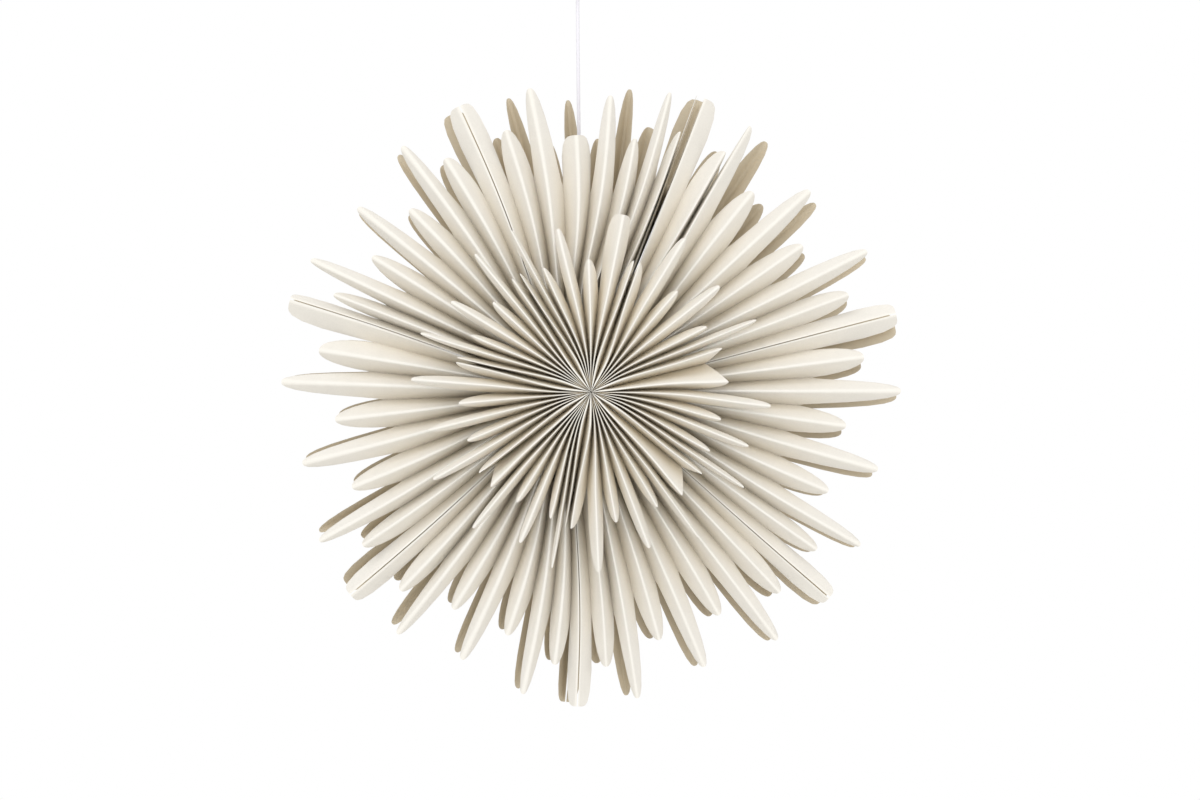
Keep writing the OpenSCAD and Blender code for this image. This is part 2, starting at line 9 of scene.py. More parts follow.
import bmesh
import bpy
from bpy.props import FloatProperty, FloatVectorProperty, PointerProperty
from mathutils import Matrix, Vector


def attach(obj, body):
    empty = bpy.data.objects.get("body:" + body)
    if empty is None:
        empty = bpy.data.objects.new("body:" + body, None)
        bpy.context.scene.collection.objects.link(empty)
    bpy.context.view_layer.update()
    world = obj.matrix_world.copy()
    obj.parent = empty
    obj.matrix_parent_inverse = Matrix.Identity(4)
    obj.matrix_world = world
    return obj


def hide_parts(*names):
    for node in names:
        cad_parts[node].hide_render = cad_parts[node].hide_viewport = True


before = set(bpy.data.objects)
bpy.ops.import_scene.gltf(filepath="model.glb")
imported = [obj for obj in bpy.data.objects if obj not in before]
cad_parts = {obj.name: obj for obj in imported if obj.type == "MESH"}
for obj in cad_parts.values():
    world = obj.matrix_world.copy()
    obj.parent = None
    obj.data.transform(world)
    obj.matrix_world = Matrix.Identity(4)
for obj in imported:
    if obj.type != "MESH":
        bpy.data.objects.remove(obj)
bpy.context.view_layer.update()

bl_info = {
    "name": "Paper Star Lamp",
    "version": (1, 0, 0),
    "blender": (4, 5, 0),
    "location": "View3D > Sidebar > Paper Star",
    "description": "Builds a pleated paper star lamp over its packed frame",
    "category": "Add Mesh",
}

MM = 0.001
SEGMENTS = 7
LEAVES = 7

# Turns of the seams at the hub, in degrees, counter-clockwise from +X seen from the front.
SEAM_ROOT = (14, 70.5, 121.7, 166.2, 216.7, 260, 320.5)
SEAM_TIP_FRONT = (14.4, 69.6, 114.7, 162.8, 220.1, 267.5, 319.2)
SEAM_TIP_REAR = (12.4, 68.4, 116.5, 163, 218.5, 265.3, 318.5)
CLOSING_SEAM = 1
CLOSING_SPREAD_FRONT = 0.45
CLOSING_SPREAD_REAR = 0.2

# Turns of the leaves' tips in each segment, counted on past a full turn in the last one.
FRONT_TURNS = (
    (20.7, 27, 34.7, 42.6, 51, 59.2, 60.7),
    (71, 75.2, 80.1, 86.2, 93.2, 101.5, 108),
    (122, 127.5, 134.8, 141.7, 148.3, 154.8, 159.3),
    (171.3, 178.1, 186.2, 193.9, 201.8, 208.8, 213.9),
    (226.2, 231.3, 237.6, 244.2, 251, 257.3, 262.4),
    (273.2, 278.6, 285.4, 292.4, 299.9, 306.9, 313.3),
    (325.1, 330.3, 337.3, 344.9, 352.4, 360.2, 367.3),
)
REAR_TURNS = (
    (19.6, 26, 32.8, 40, 47.6, 55, 62.4),
    (77.7, 82.7, 88.5, 94.6, 99.5, 105.8, 110.5),
    (123.3, 129.1, 135.9, 142.2, 148.6, 154.9, 159.2),
    (170.9, 177.9, 185.3, 193.2, 200.7, 207.1, 212.1),
    (223.6, 229.4, 236, 242.6, 249.2, 256.1, 261.1),
    (271.2, 276.6, 283.6, 290.9, 298, 305.8, 311.4),
    (324.4, 329.7, 336.6, 343.6, 350.8, 359.2, 365.6),
)
SMALL_TURNS = (
    (18.3, 23.5, 29.3, 39.5, 49.5, 58.5, 69.3),
    (71.8, 79.5, 91, 101.5, 111, 116.3, 121.1),
    (124.8, 130, 137.5, 147.2, 154.8, 161, 165.7),
    (167.5, 176, 185, 193.3, 201.5, 209, 216),
    (223.3, 229, 236, 244.8, 252.3, 257.6, 259.3),
    (261.5, 272.5, 281, 290.5, 300, 306.5, 311.5),
    (323.5, 328, 333.5, 341, 348, 355.5, 364.3),
)

# The cut of a panel's edge from tip to valley, as powers of its share and of its height.
STRAIGHT_CUT = (1, 1)
SLIM_CUT = (2.6, 0.5)
ROUND_CUT = (2.2, 1)
BROAD_CUT = (2.4, 1.25)
SEAM_CUT = (5, 2)
LARGE_CUTS = (
    SEAM_CUT, BROAD_CUT, BROAD_CUT, SLIM_CUT, SLIM_CUT, ROUND_CUT, ROUND_CUT, SLIM_CUT,
)
SMALL_CUTS = (
    STRAIGHT_CUT, ROUND_CUT, SLIM_CUT, SLIM_CUT, ROUND_CUT, ROUND_CUT, SLIM_CUT,
)

# Crest folds of the small sheets that are pressed back at the hub. There they lose their painted
# highlight and are painted in the valleys' shade tone.
PRESSED_CRESTS = (3, 5, 9, 11)

# Crest folds of the front leaves that end in a full round, by segment counted from 0.
ROUNDED_LARGE = {1: (10,)}
ROUNDED_SMALL = {1: (3,)}

# Rows of a sheet's mesh from the hub to its edge.
LARGE_ROWS = 36
SMALL_ROWS = 28
DIVIDER_ROWS = 24
# Columns of a panel's mesh: round its fold, and at these shares of the way on to the valley.
ARC = 4
PANEL = (0.1, 0.24, 0.4, 0.58, 0.76, 0.9, 1.0)
ACROSS = ARC + len(PANEL) + 1
# The most of a panel's width that a fold takes, and the share of the reach it opens from.
FOLD_SHARE = 0.6
OPENS_FROM = 0.15
# How fast the joint in a seam leaf opens, and how fast the painted shade deepens down a panel
# towards its valley.
JOINT_FADE = 6
SHADE_FADE = 1.4

# Sides round a turned piece, and round the shade ring and the ceiling cup.
SIDES = 96
RING_SIDES = 240
CUP_SIDES = 160
# Grip flutes round the shade ring and round a cord grip, the power that makes them narrow,
# and the height over which each one fades in.
RING_FLUTES = 30
GRIP_FLUTES = 10
FLUTE_POWER = 6
FLUTE_FADE = 0.6 * MM
# Steps along the bulb's globe and neck, and along the carrier's ring and bends.
GLOBE_STEPS = 40
NECK_STEPS = 14
WIRE_RING_STEPS = 72
BEND_STEPS = 8
# Where a corner's curve has points, and the most of an edge's length that a corner takes.
CORNER_POINTS = (0.0, 0.3, 0.7, 1.0)
CORNER_SHARE = 0.4
# Points this near a wall are cut with it, and points this near each other become one.
ON_WALL = 0.02 * MM
AS_ONE = 0.002 * MM
# Faces that meet at more than this angle have a sharp edge.
SHARP = radians(40)

# The soft lamps: place from the star's centre and width in metres, and power in watts.
LAMPS = {
    "key_lamp": ((-1.3, -2.6, 2.2), 2.4, 38),
    "fill_lamp": ((1.8, -2.8, 0.6), 2.4, 18),
}

# The photo's size and the star's centre on it, in pixels.
PHOTO_SIZE = (1200, 800)
STAR_PIXEL = (591, 392)
# The camera's sensor width in millimetres, and how far it sees, in metres.
SENSOR_W = 36
SEEN_DEPTH = 40

# The cord's route, from the lampholder up to the terminal block.
CORD_ROUTE = tuple((x * MM, 0.0, z * MM) for x, z in (
    (2.4, -347), (2.4, -330), (2.4, -312), (2.4, -294), (2.3, -276), (2.2, -258),
    (2, -240), (1.8, -222), (1.6, -204), (1.4, -186), (1.2, -168), (1, -150),
    (0.8, -132), (0.6, -114), (0.4, -96), (0.2, -78), (0.1, -60), (0, -42),
    (0, -26), (0, -10),
))


def length(description, millimetres):
    """A Blender length property with its default in millimetres."""
    return FloatProperty(
        name=description.split(",")[0], description=description,
        default=millimetres * MM, unit="LENGTH", subtype="DISTANCE",
    )


def colour(description, hex_code):
    """A colour property with its default given as an sRGB hex value."""
    return FloatVectorProperty(
        name=description.split(",")[0], description=description, subtype="COLOR",
        size=3, min=0.0, max=1.0, default=linear(hex_code),
    )


def linear(hex_code):
    """An sRGB hex value as linear red, green and blue."""
    channels = [int(hex_code[i:i + 2], 16) / 255 for i in (1, 3, 5)]
    return tuple(c / 12.92 if c <= 0.04045 else ((c + 0.055) / 1.055) ** 2.4 for c in channels)


class PaperProps(bpy.types.PropertyGroup):
    """The paper and how it folds"""
    paper: colour("Paper colour", "#ECE8E0")
    # The inside colour is painted shade: the same paper as the outer face, darker, as it lies in the
    # shade between the front and the rear leaves.
    inside: colour("Colour of the paper's inside", "#D3C7B0")
    # The shade tone is painted shade: a warmer, darker colour mixed in deep in the valleys where the
    # pleats lie in shade.
    shade_tone: colour("Colour of the paper deep in the valleys", "#E6D7B8")
    # The fold colour lightens the crests, partly for fibres that the fold has broken pale and partly
    # as a painted highlight.
    fold: colour("Colour of the worn fibres along the folds", "#F5F2EA")
    thickness: length("Thickness of the paper", 0.15)
    slack: length("Slack between glued sheets", 0.05)
    crease: length("Radius of a fold near the hub", 0.45)
    open_crease: length("Radius of a fold at the longest tips, where it has opened", 3.2)


class LeafProps(bpy.types.PropertyGroup):
    """The large leaves and the place of the star"""
    star_x: length("Sideways place of the star's centre", 12.9)
    hang: length("Height of the ceiling over the star's centre", 414)
    crest: length("Distance of the leaves' crests from the middle plane", 60)
    seam_drop: length("How much lower the seams lie than the crests", 8)
    pleat_w: length("Width of a pleat, from crest to valley", 28)
    hub_r: length("Radius at which the pleats start", 1.0)
    # The share of the painted valley shade at the hub, which fades out towards the tips.
    valley_shade_share: FloatProperty(
        name="Warmth of the valleys", default=0.7, min=0.0, max=1.0,
        description="Share of the warm tone in the valleys at the hub, fading out to the tips",
    )
    seam_tip: length("Tip radius of the seam leaves", 300)
    side_tip: length("Tip radius of the leaves beside the seams", 262)
    long_tip: length("Tip radius of the long leaves", 295)
    short_tip: length("Tip radius of the short leaves", 245)
    middle_tip: length("Tip radius of the middle leaf", 283)
    outer_valley: length("Radius of the outer valleys", 212)
    inner_valley: length("Radius of the inner valleys", 199)
    middle_valley: length("Radius of the valleys beside the middle leaf", 190)
    lean_start: length("Radius from which the large leaves lean", 92)
    lean_early: FloatProperty(
        name="Early lean", default=3.5, min=1.0,
        description="How much of their lean the large leaves do near its start",
    )


class RosetteProps(bpy.types.PropertyGroup):
    """The small leaves and how they gather at the hub"""
    seam: length("Radius at which a small sheet ends on the seam", 112)
    side_tip: length("Tip radius of the leaves beside the seams", 131)
    long_tip: length("Tip radius of the long leaves", 171)
    short_tip: length("Tip radius of the short leaves", 126)
    middle_tip: length("Tip radius of the middle leaf", 158)
    outer_valley: length("Radius of the outer valleys", 90)
    inner_valley: length("Radius of the inner valleys", 76)
    hub_pressed: length("Radius within which most of the crests are pressed back", 24)
    pressed_back: length("How far those crests lie back at the hub", 5)
    gathered: FloatProperty(
        name="Gathering", default=0.3, min=0.0, max=0.9,
        description="How much the inner folds crowd together at the hub",
    )
    gather_reach: length("Radius at which the inner folds are evenly spread", 95)
    seam_rise: length("How much less deep the sheets lie at a seam near the hub", 15)
    lean_start: length("Radius from which the small leaves lean", 30)
    lean_early: FloatProperty(
        name="Early lean", default=1.8, min=1.0,
        description="How much of their lean the small leaves do near its start",
    )


class SeamProps(bpy.types.PropertyGroup):
    """The seams between the segments"""
    divider_start: length("Radius at which the dividers start", 56)
    closing_gap: length("Gap at the closing seam", 1.4)
    joint_gap: length("Gap between the halves of a seam leaf at its foot", 0.5)
    open_gap: length("Gap between the halves of a seam leaf at its tip", 1.0)
    groove: length("How far a divider's edge lies below the seam", 2.4)
    strip_inset: length("How much narrower than a pleat a divider's edge strips are", 3)
    arm_hole: length("Width of the hole that an arm passes through", 2.6)


class FinishProps(bpy.types.PropertyGroup):
    """The colours of the fittings"""
    cord_cover: colour("Colour of the cord's cover", "#EFEDF4")
    white_plastic: colour("Colour of the moulded fittings", "#F1F0EC")
    insert_plastic: colour("Colour of the contact insert", "#D9CDB4")
    glass: colour("Colour of the bulb's coated glass", "#F4F2EC")
    cap_glass: colour("Colour of the glass in the bulb's cap", "#17161A")
    cap_swirl: colour("Colour of the swirls in that glass", "#26242A")
    steel: colour("Colour of the plated steel", "#C4C6C8")
    nickel: colour("Colour of the plated cap", "#CFCBC2")
    pad: colour("Colour of the closing pads", "#F4F2EC")


class HolderProps(bpy.types.PropertyGroup):
    """The lampholder, its wire carrier and the cord. Heights are over the star's centre"""
    axis_x: length("Sideways place of the lampholder's axis", 2.4)
    fit: length("Clearance round a piece in its bore", 0.15)
    seat: length("Gap between pieces that lie on each other", 0.1)
    wall: length("Wall of the shell", 1.8)
    shell_r: length("Radius of the shell", 13.5)
    mouth_z: length("Height of the shell's mouth", 34.2)
    shoulder_z: length("Height of the shell's shoulder", 80)
    top_z: length("Height of the shell's top", 86.2)
    top_r: length("Radius of the shell's top", 10.5)
    flange_r: length("Radius of the flange and of the shade ring", 16.5)
    flange_z: length("Height of the flange's underside", 61.2)
    flange_t: length("Thickness of the flange", 2)
    thread_pitch: length("Pitch of the shell's thread", 3)
    thread_depth: length("Depth of the shell's thread", 0.8)
    ring_h: length("Height of the shade ring", 8)
    rib_depth: length("Depth of the grooves round the shade ring", 0.6)
    insert_z: length("Height of the contact insert's foot", 35.5)
    insert_bore_r: length("Radius of the contact insert's bore", 7.2)
    insert_bore_h: length("Depth of the contact insert's bore", 17.3)
    insert_top: length("Thickness of the contact insert over its bore", 12)
    insert_neck_r: length("Radius of the contact insert's neck", 9.5)
    insert_neck_h: length("Height of the contact insert's neck", 2.8)
    contact_r: length("Radius of the contact in the bore", 3)
    contact_h: length("How far that contact stands down", 0.7)
    contact_dome: length("How much further it stands down in its middle", 0.1)
    wire_d: length("Diameter of the carrier's wire", 2)
    wire_ring_r: length("Radius of the carrier's ring", 14.8)
    arm_right: length("Length of the carrier's right arm from the axis", 42)
    arm_left: length("Length of the carrier's left arm from the axis", 48)
    arm_bend: length("Radius of the bend in an arm", 3)
    arm_end: length("Height of an arm's turned up end", 7)
    cord_d: length("Diameter of the cord", 3.4)
    grip_r: length("Radius of a cord grip's collar", 6)
    grip_h: length("Height of a cord grip's collar", 10)
    grip_cone_r: length("How much narrower the collar is at its end", 1.4)
    grip_cone_h: length("Height of the collar's cone", 2.8)
    grip_bore_r: length("Radius of a cord grip's bore", 2)
    stem_r: length("Radius of a cord grip's stem", 4)
    stem_h: length("Length of a cord grip's stem", 6)
    flute_depth: length("Depth of the flutes round a cord grip", 0.5)
    flute_foot: length("Height of the plain foot under the flutes", 0.7)


class BulbProps(bpy.types.PropertyGroup):
    """The bulb. Heights are over the middle of its globe, which is the star's centre"""
    globe_r: length("Radius of the globe", 22.5)
    neck_turn: FloatProperty(
        name="Turn of the neck", description="Turn over the widest place where the neck starts",
        default=radians(25), unit="ROTATION", subtype="ANGLE",
    )
    bow_r: length("Radius towards which the neck bows", 14.2)
    bow_z: length("Height towards which the neck bows", 21.5)
    neck_r: length("Radius of the neck's end", 8.1)
    neck_z: length("Height of the neck's end", 33.7)
    glass_z: length("Height at which the glass closes inside the cap", 33.8)
    cap_z: length("Height of the cap's rim", 33.9)
    rim_r: length("Radius of the cap's rim", 8.3)
    rim_h: length("Height of the cap's rim, its slope left out", 1.5)
    rim_slope: length("Height of the slope over the cap's rim", 0.6)
    cap_r: length("Radius of the cap", 6.95)
    cap_end_r: length("Radius of the cap's end", 5.2)
    bevel_z: length("Height at which the cap's end starts", 49)
    cap_top_z: length("Height of the cap's end", 50.5)
    thread_pitch: length("Pitch of the cap's thread", 2.8)
    thread_depth: length("Depth of the cap's thread", 0.7)
    thread_gap: length("Plain stretch at each end of the cap's thread", 0.2)
    sunk: length("How far the glass and the contact are let in", 0.05)
    insulator_z: length("Height of the insulator's end", 51.7)
    insulator_r: length("Radius of the insulator's end", 3.4)
    contact_r: length("Radius of the contact", 2.5)
    contact_top_r: length("Radius of the contact's flat", 2.2)
    contact_side_z: length("Height of the contact's edge", 52.3)
    contact_z: length("Height of the contact's middle", 52.5)


class CupProps(bpy.types.PropertyGroup):
    """The ceiling cup. Its rim lies against the ceiling"""
    rim_r: length("Radius of the cup at the ceiling", 32)
    floor_r: length("Radius of the cup at its floor", 26)
    height: length("Height of the cup", 22)
    wall: length("Wall of the cup", 1.2)
    slope: length("Width and height of the slope round the floor", 4)
    bevel: length("Width and height of the bevel under that slope", 1)
    corner: length("Radius of the cup's corners", 1.2)


class StageProps(bpy.types.PropertyGroup):
    """The camera and the floor"""
    distance: FloatProperty(
        name="Camera distance", description="Distance of the camera from the star",
        default=8.0, min=1.0, unit="LENGTH", subtype="DISTANCE",
    )
    sky: FloatProperty(
        name="Light of the surroundings", default=0.83, min=0.0,
        description="Strength of the white surroundings as a light",
    )
    floor: colour("Colour of the floor", "#F2F1EE")
    floor_drop: length("Height of the star's centre over the floor", 1600)
    floor_reach: length("Half the width of the floor", 7000)
    pixel: length("Width of one pixel of the photo, at the leaves' crests", 0.952)


def add(surface, kind, inputs=(), **settings):
    """Adds a node to a material or a world. Each input is a value or another node's output."""
    tree = surface.node_tree
    made = tree.nodes.new(kind)
    for name, value in settings.items():
        setattr(made, name, value)
    for name, value in dict(inputs).items():
        if isinstance(value, bpy.types.NodeSocket):
            tree.links.new(value, made.inputs[name])
        else:
            made.inputs[name].default_value = value
    return made


def per(millimetres):
    """The scale of a pattern whose repeat is this long."""
    return 1 / (millimetres * MM)


def rgba(rgb, brightness=1.0):
    """A colour as a node takes it, made lighter or darker."""
    return (*(min(1.0, c * brightness) for c in rgb), 1.0)


def finished(name, build):
    """The material of that name. If it isn't there, build adds its nodes to an empty one and
    returns what goes into its shader."""
    surface = bpy.data.materials.get(name)
    if surface is None:
        surface = bpy.data.materials.new(name)
        surface.use_nodes = True
        surface.node_tree.nodes.clear()
        shader = add(surface, "ShaderNodeBsdfPrincipled", build(surface))
        add(surface, "ShaderNodeOutputMaterial", {"Surface": shader.outputs["BSDF"]})
    return surface


def paper(name, colour, fold_wear_and_highlight, shade_tone_colour):
    """Uncoated paper, dyed in the pulp and dried on a felt. It scatters light evenly. Clouds show
    where the pulp lies thicker, and its tooth is drawn some five times coarser than real fibres so
    that it shows. Along the ridges the colour is lightened, partly for fibres that the fold has
    broken pale and partly as a painted highlight. Deep in the valleys a warmer, darker tone is
    painted in as shade."""
    def build(surface):
        place = add(surface, "ShaderNodeTexCoord").outputs["Object"]
        clouds = add(surface, "ShaderNodeTexNoise", {
            "Vector": place, "Scale": per(14), "Detail": 3.0, "Roughness": 0.5})
        tooth = add(surface, "ShaderNodeTexNoise", {
            "Vector": place, "Scale": per(1.6), "Detail": 3.0, "Roughness": 0.75,
            "Distortion": 0.4})
        cloudy = add(surface, "ShaderNodeMix", {
            0: clouds.outputs["Fac"], 6: rgba(colour, 0.965), 7: rgba(colour, 1.035)},
            data_type="RGBA")
        flecked = add(surface, "ShaderNodeMix", {
            0: tooth.outputs["Fac"], 6: rgba((0.93,) * 3), 7: (1.07, 1.07, 1.07, 1.0)},
            data_type="RGBA")
        pulp = add(surface, "ShaderNodeMix", {
            0: 1.0, 6: cloudy.outputs[2], 7: flecked.outputs[2]},
            data_type="RGBA", blend_type="MULTIPLY")
        # Ridges: lightened partly as worn fibres and partly as a painted highlight.
        ridge_wear_and_highlight = add(surface, "ShaderNodeAttribute", attribute_name="ridge_wear_and_highlight")
        lit_and_worn = add(surface, "ShaderNodeMath", {
            0: ridge_wear_and_highlight.outputs["Fac"], 1: 0.55}, operation="MULTIPLY")
        folded = add(surface, "ShaderNodeMix", {
            0: lit_and_worn.outputs[0], 6: pulp.outputs[2], 7: rgba(fold_wear_and_highlight)}, data_type="RGBA")
        # Valleys: mixed towards the shade tone as painted shade.
        valley = add(surface, "ShaderNodeAttribute", attribute_name="valley")
        warm = add(surface, "ShaderNodeMix", {
            0: valley.outputs["Fac"], 6: folded.outputs[2], 7: rgba(shade_tone_colour)},
            data_type="RGBA")
        bump = add(surface, "ShaderNodeBump", {
            "Height": tooth.outputs["Fac"], "Strength": 0.35, "Distance": 0.25 * MM})
        rough = add(surface, "ShaderNodeMapRange", {
            "Value": tooth.outputs["Fac"], "To Min": 0.86, "To Max": 0.97})
        return {"Base Color": warm.outputs[2], "Roughness": rough.outputs["Result"],
                "Normal": bump.outputs["Normal"], "Specular IOR Level": 0.3}
    return finished(name, build)


def paper_face():
    """The paper's outer face."""
    p = bpy.context.scene.star_paper
    return paper("uncoated cream paper", p.paper, p.fold, p.shade_tone)


def shaded_paper_inside():
    """The paper's inner face, painted darker as the shade that lies between the front and the rear
    leaves.
    """
    p = bpy.context.scene.star_paper
    return paper("uncoated cream paper inside", p.inside, p.inside, p.inside)


def moulded(name, colour, roughness, grain):
    """Injection moulded plastic. The mould's fine spark grain breaks the highlight a little."""
    def build(surface):
        place = add(surface, "ShaderNodeTexCoord").outputs["Object"]
        spark = add(surface, "ShaderNodeTexNoise", {
            "Vector": place, "Scale": per(grain), "Detail": 2.0, "Roughness": 0.6})
        flow = add(surface, "ShaderNodeTexNoise", {
            "Vector": place, "Scale": per(18), "Detail": 2.0})
        tint = add(surface, "ShaderNodeMix", {
            0: flow.outputs["Fac"], 6: rgba(colour, 0.97), 7: rgba(colour, 1.02)},
            data_type="RGBA")
        rough = add(surface, "ShaderNodeMapRange", {
            "Value": spark.outputs["Fac"], "To Min": roughness - 0.05,
            "To Max": roughness + 0.08})
        bump = add(surface, "ShaderNodeBump", {
            "Height": spark.outputs["Fac"], "Strength": 0.2, "Distance": 0.05 * MM})
        return {"Base Color": tint.outputs[2], "Roughness": rough.outputs["Result"],
                "Normal": bump.outputs["Normal"], "IOR": 1.53}
    return finished(name, build)


def white_plastic():
    """Moulded polyamide, satin white."""
    return moulded("moulded white polyamide", bpy.context.scene.star_finish.white_plastic,
                   0.36, 0.5)


def insert_plastic():
    """Moulded melamine, a duller ivory."""
    return moulded("moulded ivory melamine", bpy.context.scene.star_finish.insert_plastic,
                   0.5, 0.8)


def cord_vinyl():
    """Soft vinyl drawn over the wires. It is smooth and satin, with a slow waviness along it
    from the drawing."""
    def build(surface):
        colour = bpy.context.scene.star_finish.cord_cover
        place = add(surface, "ShaderNodeTexCoord").outputs["Object"]
        drawn = add(surface, "ShaderNodeTexNoise", {
            "Vector": place, "Scale": per(6), "Detail": 1.0})
        dust = add(surface, "ShaderNodeTexNoise", {
            "Vector": place, "Scale": per(1.2), "Detail": 3.0})
        tint = add(surface, "ShaderNodeMix", {
            0: dust.outputs["Fac"], 6: rgba(colour, 0.96), 7: rgba(colour, 1.03)},
            data_type="RGBA")
        bump = add(surface, "ShaderNodeBump", {
            "Height": drawn.outputs["Fac"], "Strength": 0.3, "Distance": 0.08 * MM})
        return {"Base Color": tint.outputs[2], "Roughness": 0.42, "IOR": 1.53,
                "Normal": bump.outputs["Normal"]}
    return finished("drawn white vinyl", build)


def opal_glass():
    """Blown glass, coated white on its inside. The coating takes the light evenly, and the
    outer skin is fire polished, so its highlight is sharp."""
    def build(surface):
        colour = bpy.context.scene.star_finish.glass
        place = add(surface, "ShaderNodeTexCoord").outputs["Object"]
        powder = add(surface, "ShaderNodeTexNoise", {
            "Vector": place, "Scale": per(2.5), "Detail": 4.0, "Roughness": 0.6})
        tint = add(surface, "ShaderNodeMix", {
            0: powder.outputs["Fac"], 6: rgba(colour, 0.98), 7: rgba(colour, 1.01)},
            data_type="RGBA")
        rough = add(surface, "ShaderNodeMapRange", {
            "Value": powder.outputs["Fac"], "To Min": 0.5, "To Max": 0.62})
        return {"Base Color": tint.outputs[2], "Roughness": rough.outputs["Result"],
                "IOR": 1.52, "Coat Weight": 1.0, "Coat Roughness": 0.04, "Coat IOR": 1.52}
    return finished("opal coated glass", build)


def plated(name, colour, roughness, spangle, depth):
    """Steel with an electroplated skin. Its crystals turn the highlight patchy, and handling
    leaves it a little duller in places."""
    def build(surface):
        place = add(surface, "ShaderNodeTexCoord").outputs["Object"]
        crystals = add(surface, "ShaderNodeTexVoronoi", {"Vector": place, "Scale": per(spangle)})
        haze = add(surface, "ShaderNodeTexNoise", {
            "Vector": place, "Scale": per(5), "Detail": 4.0})
        tint = add(surface, "ShaderNodeMix", {
            0: crystals.outputs["Distance"], 6: rgba(colour, 0.95), 7: rgba(colour, 1.04)},
            data_type="RGBA")
        rough = add(surface, "ShaderNodeMapRange", {
            "Value": haze.outputs["Fac"], "From Min": 0.3, "From Max": 0.7,
            "To Min": roughness, "To Max": roughness + 0.16})
        bump = add(surface, "ShaderNodeBump", {
            "Height": crystals.outputs["Distance"], "Strength": 0.15, "Distance": depth * MM})
        return {"Base Color": tint.outputs[2], "Metallic": 1.0,
                "Roughness": rough.outputs["Result"], "Normal": bump.outputs["Normal"]}
    return finished(name, build)


def zinc():
    """Zinc plated steel, grey and a little patchy."""
    return plated("zinc plated steel", bpy.context.scene.star_finish.steel, 0.3, 1.1, 0.03)


def nickel():
    """Nickel plated brass, smoother and warmer than the zinc."""
    return plated("nickel plated brass", bpy.context.scene.star_finish.nickel, 0.2, 0.7, 0.01)


def black_glass():
    """Moulded black glass. It is smooth and deep, with faint swirls from the pour."""
    def build(surface):
        finish = bpy.context.scene.star_finish
        place = add(surface, "ShaderNodeTexCoord").outputs["Object"]
        swirl = add(surface, "ShaderNodeTexNoise", {
            "Vector": place, "Scale": per(3), "Detail": 3.0, "Distortion": 1.5})
        tint = add(surface, "ShaderNodeMix", {
            0: swirl.outputs["Fac"], 6: rgba(finish.cap_glass), 7: rgba(finish.cap_swirl)},
            data_type="RGBA")
        return {"Base Color": tint.outputs[2], "Roughness": 0.12, "IOR": 1.52}
    return finished("moulded black glass", build)


def painted_floor():
    """Matt painted board. The roller leaves it almost even."""
    def build(surface):
        colour = bpy.context.scene.star_stage.floor
        place = add(surface, "ShaderNodeTexCoord").outputs["Object"]
        roller = add(surface, "ShaderNodeTexNoise", {"Vector": place, "Scale": per(40)})
        tint = add(surface, "ShaderNodeMix", {
            0: roller.outputs["Fac"], 6: rgba(colour, 0.99), 7: rgba(colour, 1.01)},
            data_type="RGBA")
        return {"Base Color": tint.outputs[2], "Roughness": 0.9}
    return finished("matt painted board", build)


def loop_pile():
    """Knitted nylon loops on a backing. They catch the light as a soft fuzz, and the pits between
    them are painted darker as shade."""
    def build(surface):
        colour = bpy.context.scene.star_finish.pad
        place = add(surface, "ShaderNodeTexCoord").outputs["Object"]
        loops = add(surface, "ShaderNodeTexVoronoi", {
            "Vector": place, "Scale": per(0.6), "Randomness": 0.8})
        # The pits between the loops are painted darker as shade.
        tint = add(surface, "ShaderNodeMix", {
            0: loops.outputs["Distance"], 6: rgba(colour), 7: rgba(colour, 0.7)},
            data_type="RGBA")
        bump = add(surface, "ShaderNodeBump", {
            "Height": loops.outputs["Distance"], "Strength": 0.8, "Distance": 0.3 * MM},
            invert=True)
        return {"Base Color": tint.outputs[2], "Roughness": 0.95, "Sheen Weight": 0.4,
                "Normal": bump.outputs["Normal"]}
    return finished("nylon loop pile", build)


def mesh_piece(name, points, faces, surface, replaced):
    """A smooth mesh piece on the frame's body that stands for the replaced CAD nodes."""
    mesh = bpy.data.meshes.new(name)
    mesh.from_pydata(points, [], faces)
    mesh.validate()
    mesh.materials.append(surface)
    piece = bpy.data.objects.new(name, mesh)
    bpy.context.collection.objects.link(piece)
    mesh.polygons.foreach_set("use_smooth", [True] * len(mesh.polygons))
    mesh.set_sharp_from_angle(angle=SHARP)
    return placed(piece, replaced)


def placed(piece, replaced):
    """Puts a piece on the frame's body and in place of the CAD nodes."""
    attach(piece, "root")
    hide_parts(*replaced)
    return piece


def surfaced(node, surface):
    """Gives a CAD node, whose own shape stays, its finish."""
    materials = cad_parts[node].data.materials
    materials.clear()
    materials.append(surface)


def tube(name, routes, diameter, resolution, surface, replaced):
    """A round wire or cord along routes, each a list of points and whether it is a loop."""
    curve = bpy.data.curves.new(name, "CURVE")
    curve.dimensions = "3D"
    curve.bevel_depth = diameter / 2
    curve.bevel_resolution = resolution
    curve.use_fill_caps = True
    for route, looped in routes:
        spline = curve.splines.new("POLY")
        spline.points.add(len(route) - 1)
        spline.use_cyclic_u = looped
        for point, place in zip(spline.points, route):
            point.co = (*place, 1)
    curve.materials.append(surface)
    piece = bpy.data.objects.new(name, curve)
    bpy.context.collection.objects.link(piece)
    return placed(piece, replaced)


